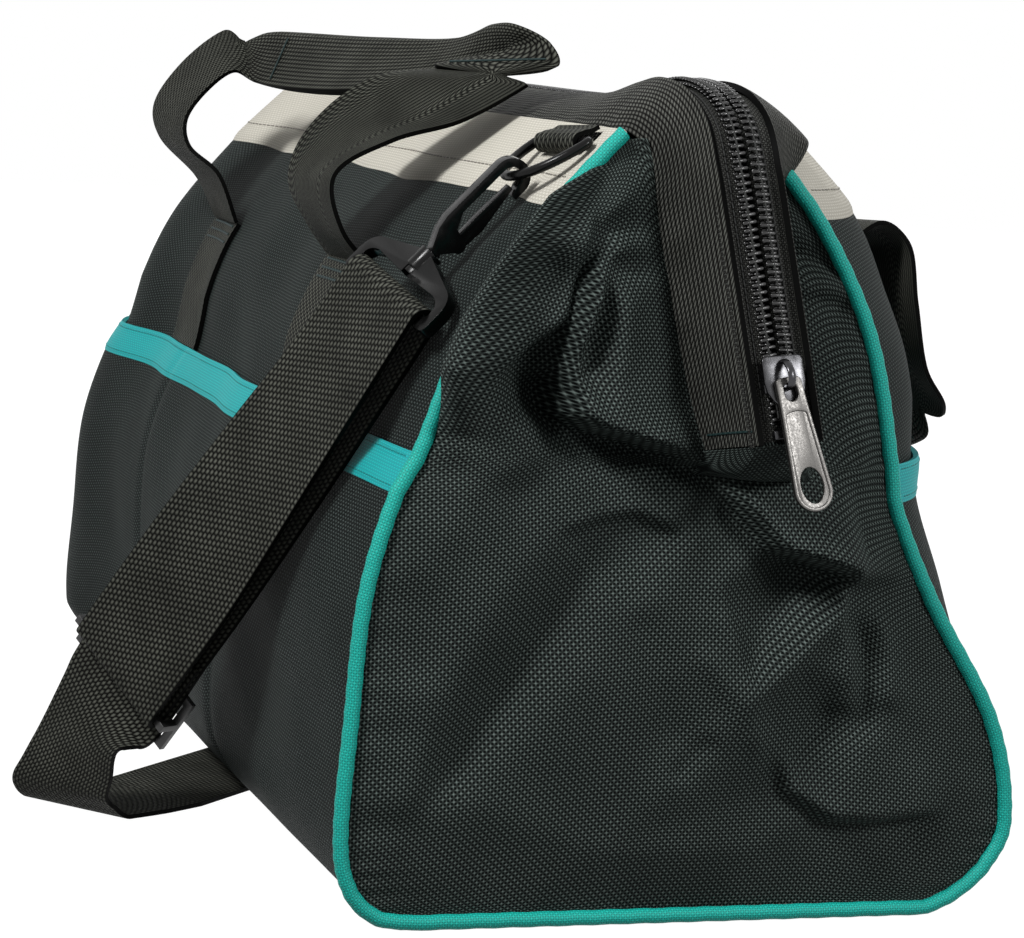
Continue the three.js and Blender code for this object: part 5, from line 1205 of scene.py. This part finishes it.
# The shoulder strap: the same webbing. Its sewn end wraps the bar of the adjuster, and it runs up through
# the front eye, down behind itself, over the floor, under the bag and up to the rear eye. Each row of a
# run holds both edges' x, y and z.
strap_runs = {
    "front": [
        (107.9, -176.7, 93.7, 141.4, -154.1, 64.2), (95.9, -186.3, 72.8, 129.4, -163.8, 43.2),
        (95.6, -187, 71.9, 129.1, -164.4, 42.4), (95.7, -187.9, 71.3, 129.2, -165.3, 41.8),
        (96.2, -188.8, 71.2, 129.6, -166.3, 41.6), (96.9, -189.6, 71.4, 130.4, -167, 41.9),
        (97.7, -189.9, 72.1, 131.2, -167.4, 42.5), (98.4, -189.7, 72.9, 131.8, -167.2, 43.4),
        (124, -168, 118.8, 158.4, -146.8, 89.3), (143.6, -147.4, 156.9, 181.8, -132.6, 128.3),
        (163.4, -126.5, 194.7, 204.6, -118.5, 167.5), (175.8, -114.4, 220.4, 222.2, -103.3, 205.3),
        (176.1, -113.7, 221.7, 222.4, -102.6, 206.6), (176.1, -112.5, 222.7, 222.5, -101.4, 207.6),
        (175.9, -111, 223.1, 222.3, -99.9, 208.1), (175.5, -109.6, 223, 221.9, -98.4, 208),
        (175, -108.3, 222.4, 221.3, -97.2, 207.3), (174.4, -107.4, 221.3, 220.8, -96.3, 206.2),
        (173.9, -107, 219.9, 220.2, -95.9, 204.8), (173.4, -107.2, 218.4, 219.8, -96.1, 203.4),
        (160.9, -119.5, 192.9, 202.1, -111.6, 165.7), (140.2, -140.9, 155.8, 178.4, -126.1, 127.2),
        (120.1, -162.2, 118.4, 154.5, -141, 88.9), (108.3, -173.2, 96.8, 141.8, -150.6, 67.3),
        (88, -189.5, 61.4, 121.5, -167, 31.8), (83.9, -192.3, 51.9, 121, -170.3, 31.6),
        (79.6, -195.2, 42.2, 120.6, -173.8, 31.4), (75.7, -197.9, 33.4, 119.9, -176.7, 30.7),
        (73, -200, 27.1, 118.3, -178.5, 28.3), (71, -201.7, 22.5, 115.6, -178.9, 23.8),
        (69.1, -203.2, 18.3, 112.5, -178.4, 18.8), (67.3, -204.5, 14.6, 109.8, -178.1, 14.6),
        (65.8, -205.6, 11.7, 107.6, -178.2, 11.7), (64.2, -206.5, 9.1, 105.5, -178.2, 9),
        (62.9, -206.9, 6.6, 103.6, -177.8, 6.6), (62.1, -206.8, 4.9, 102.1, -176.9, 4.8),
        (61.6, -206.5, 3.5, 100.9, -175.7, 3.4), (61.1, -205.9, 2.1, 99.8, -174.2, 2.1),
        (60.5, -205.1, 0.7, 98.5, -172.7, 0.8), (59.6, -203.9, -0.9, 97.2, -171, -0.9),
        (58.6, -202.3, -2.4, 95.9, -169.1, -2.4), (57.5, -200.4, -3.6, 94.5, -166.8, -3.6),
        (55.6, -196.8, -3.8, 92.5, -163, -3.8), (53.3, -192, -3.8, 90.3, -158.2, -3.8),
        (50.8, -186.9, -3.8, 87.8, -153.2, -3.8), (48.1, -182, -3.8, 85.1, -148.3, -3.8),
        (44.9, -177, -3.8, 81.9, -143.4, -3.8), (41.6, -172, -3.8, 78.6, -138.4, -3.8),
        (38.3, -167.1, -3.8, 75.3, -133.5, -3.8)],
    "base": [
        (38.3, -167.1, -3.8, 75.3, -133.5, -3.8), (-7.5, -120.4, -3.8, 29.5, -86.8, -3.8),
        (-53.2, -73.7, -3.8, -16.2, -40, -3.8), (-99, -26.9, -3.8, -62, 6.7, -3.8),
        (-144.8, 19.8, -3.8, -107.8, 53.4, -3.8), (-190.5, 66.5, -3.8, -153.5, 100.1, -3.8),
        (-236.3, 113.2, -3.8, -199.3, 146.8, -3.8)],
    "rear": [
        (-222.2, 120.1, 174.3, -173, 111.6, 172.3), (-222.9, 109.3, 202.4, -173.7, 100.7, 200.4),
        (-223.1, 105.8, 211.9, -173.9, 97.3, 209.8), (-223.1, 105.7, 213.4, -173.9, 97.1, 211.3),
        (-222.9, 106.2, 214.9, -173.7, 97.6, 212.8), (-222.7, 107.2, 216, -173.5, 98.6, 213.9),
        (-222.5, 108.5, 216.7, -173.2, 99.9, 214.6), (-222.2, 110, 216.8, -173, 101.4, 214.8),
        (-222, 111.5, 216.3, -172.7, 102.9, 214.3), (-221.8, 112.6, 215.3, -172.6, 104, 213.3),
        (-221.7, 113.3, 214, -172.5, 104.7, 211.9), (-221.8, 115.2, 204.1, -172.6, 106.7, 202.1),
        (-222.1, 121.8, 170.6, -172.9, 113.2, 168.6), (-221.4, 127.1, 152.6, -172.1, 117.6, 150.4),
        (-220.6, 132.4, 134.6, -171.3, 122, 132.2), (-221.8, 136.5, 116.6, -172.6, 127.9, 114.5),
        (-226.9, 138.3, 97.7, -178.3, 137.4, 96.1), (-234, 138.9, 78.9, -186.2, 148.6, 78.2),
        (-238.4, 140.3, 62, -191.8, 158.3, 62), (-238.3, 142.3, 51.8, -192.6, 163.4, 51.9),
        (-236.9, 144.8, 42.6, -192.2, 167.7, 42.6), (-235.8, 147, 34, -192.3, 171.6, 34),
        (-235.7, 148.5, 27.5, -193.2, 174.8, 27.5), (-235.8, 149.8, 21.5, -194.3, 177.7, 21.4),
        (-236.3, 150.6, 16, -195.8, 180, 16), (-237.2, 150.9, 12.3, -197.5, 181.4, 12.3),
        (-238.4, 150.9, 8.8, -199.4, 182.4, 8.9), (-239.2, 150.2, 6, -201, 182.4, 6),
        (-239.5, 148.7, 4.2, -201.8, 181.4, 4.3), (-239.7, 146.6, 2.9, -202.4, 179.9, 2.9),
        (-239.6, 144.5, 1.6, -202.6, 178.1, 1.6), (-239.1, 142.4, 0.2, -202.2, 176.1, 0.2),
        (-238.3, 140.2, -1, -201.3, 173.9, -1), (-237.6, 137.5, -1.9, -200.6, 171.1, -1.9),
        (-237, 130.6, -1.9, -200, 164.2, -1.9), (-236.8, 122, -1.9, -199.8, 155.7, -1.9),
        (-236.6, 113.5, -1.9, -199.6, 147.1, -1.9)],
}
for name, run in strap_runs.items():
    rows = np.array(run).reshape(-1, 2, 3)
    count = 40 if name == "base" else 10 * (len(rows) - 1)
    steps = np.linspace(0, 1, count + 1)
    first, second = curve_through(rows[:, 0], steps), curve_through(rows[:, 1], steps)

    def run_place(u, v):
        row = np.round(v * count).astype(int)
        return first[row] * (1 - u)[:, None] + second[row] * u[:, None]

    strap = cloth(f"strap_{name}_belt", run_place, 20, count, strap_thickness, turned=True, yarn=strap_yarn)
    settle(strap, strap_belt, "root", "webbing", f"shoulder_strap_{name}_run")
moulded = grained("moulded_black", (0.010, 0.010, 0.010), 0.42, (1200,), relief=(0.15, 0.00005))
bevelled("strap_adjuster", "adjuster_frame", 0.7, moulded, "root", "plastic")

size = {"cad": cad_box, "visual": [list(corner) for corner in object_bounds()]}
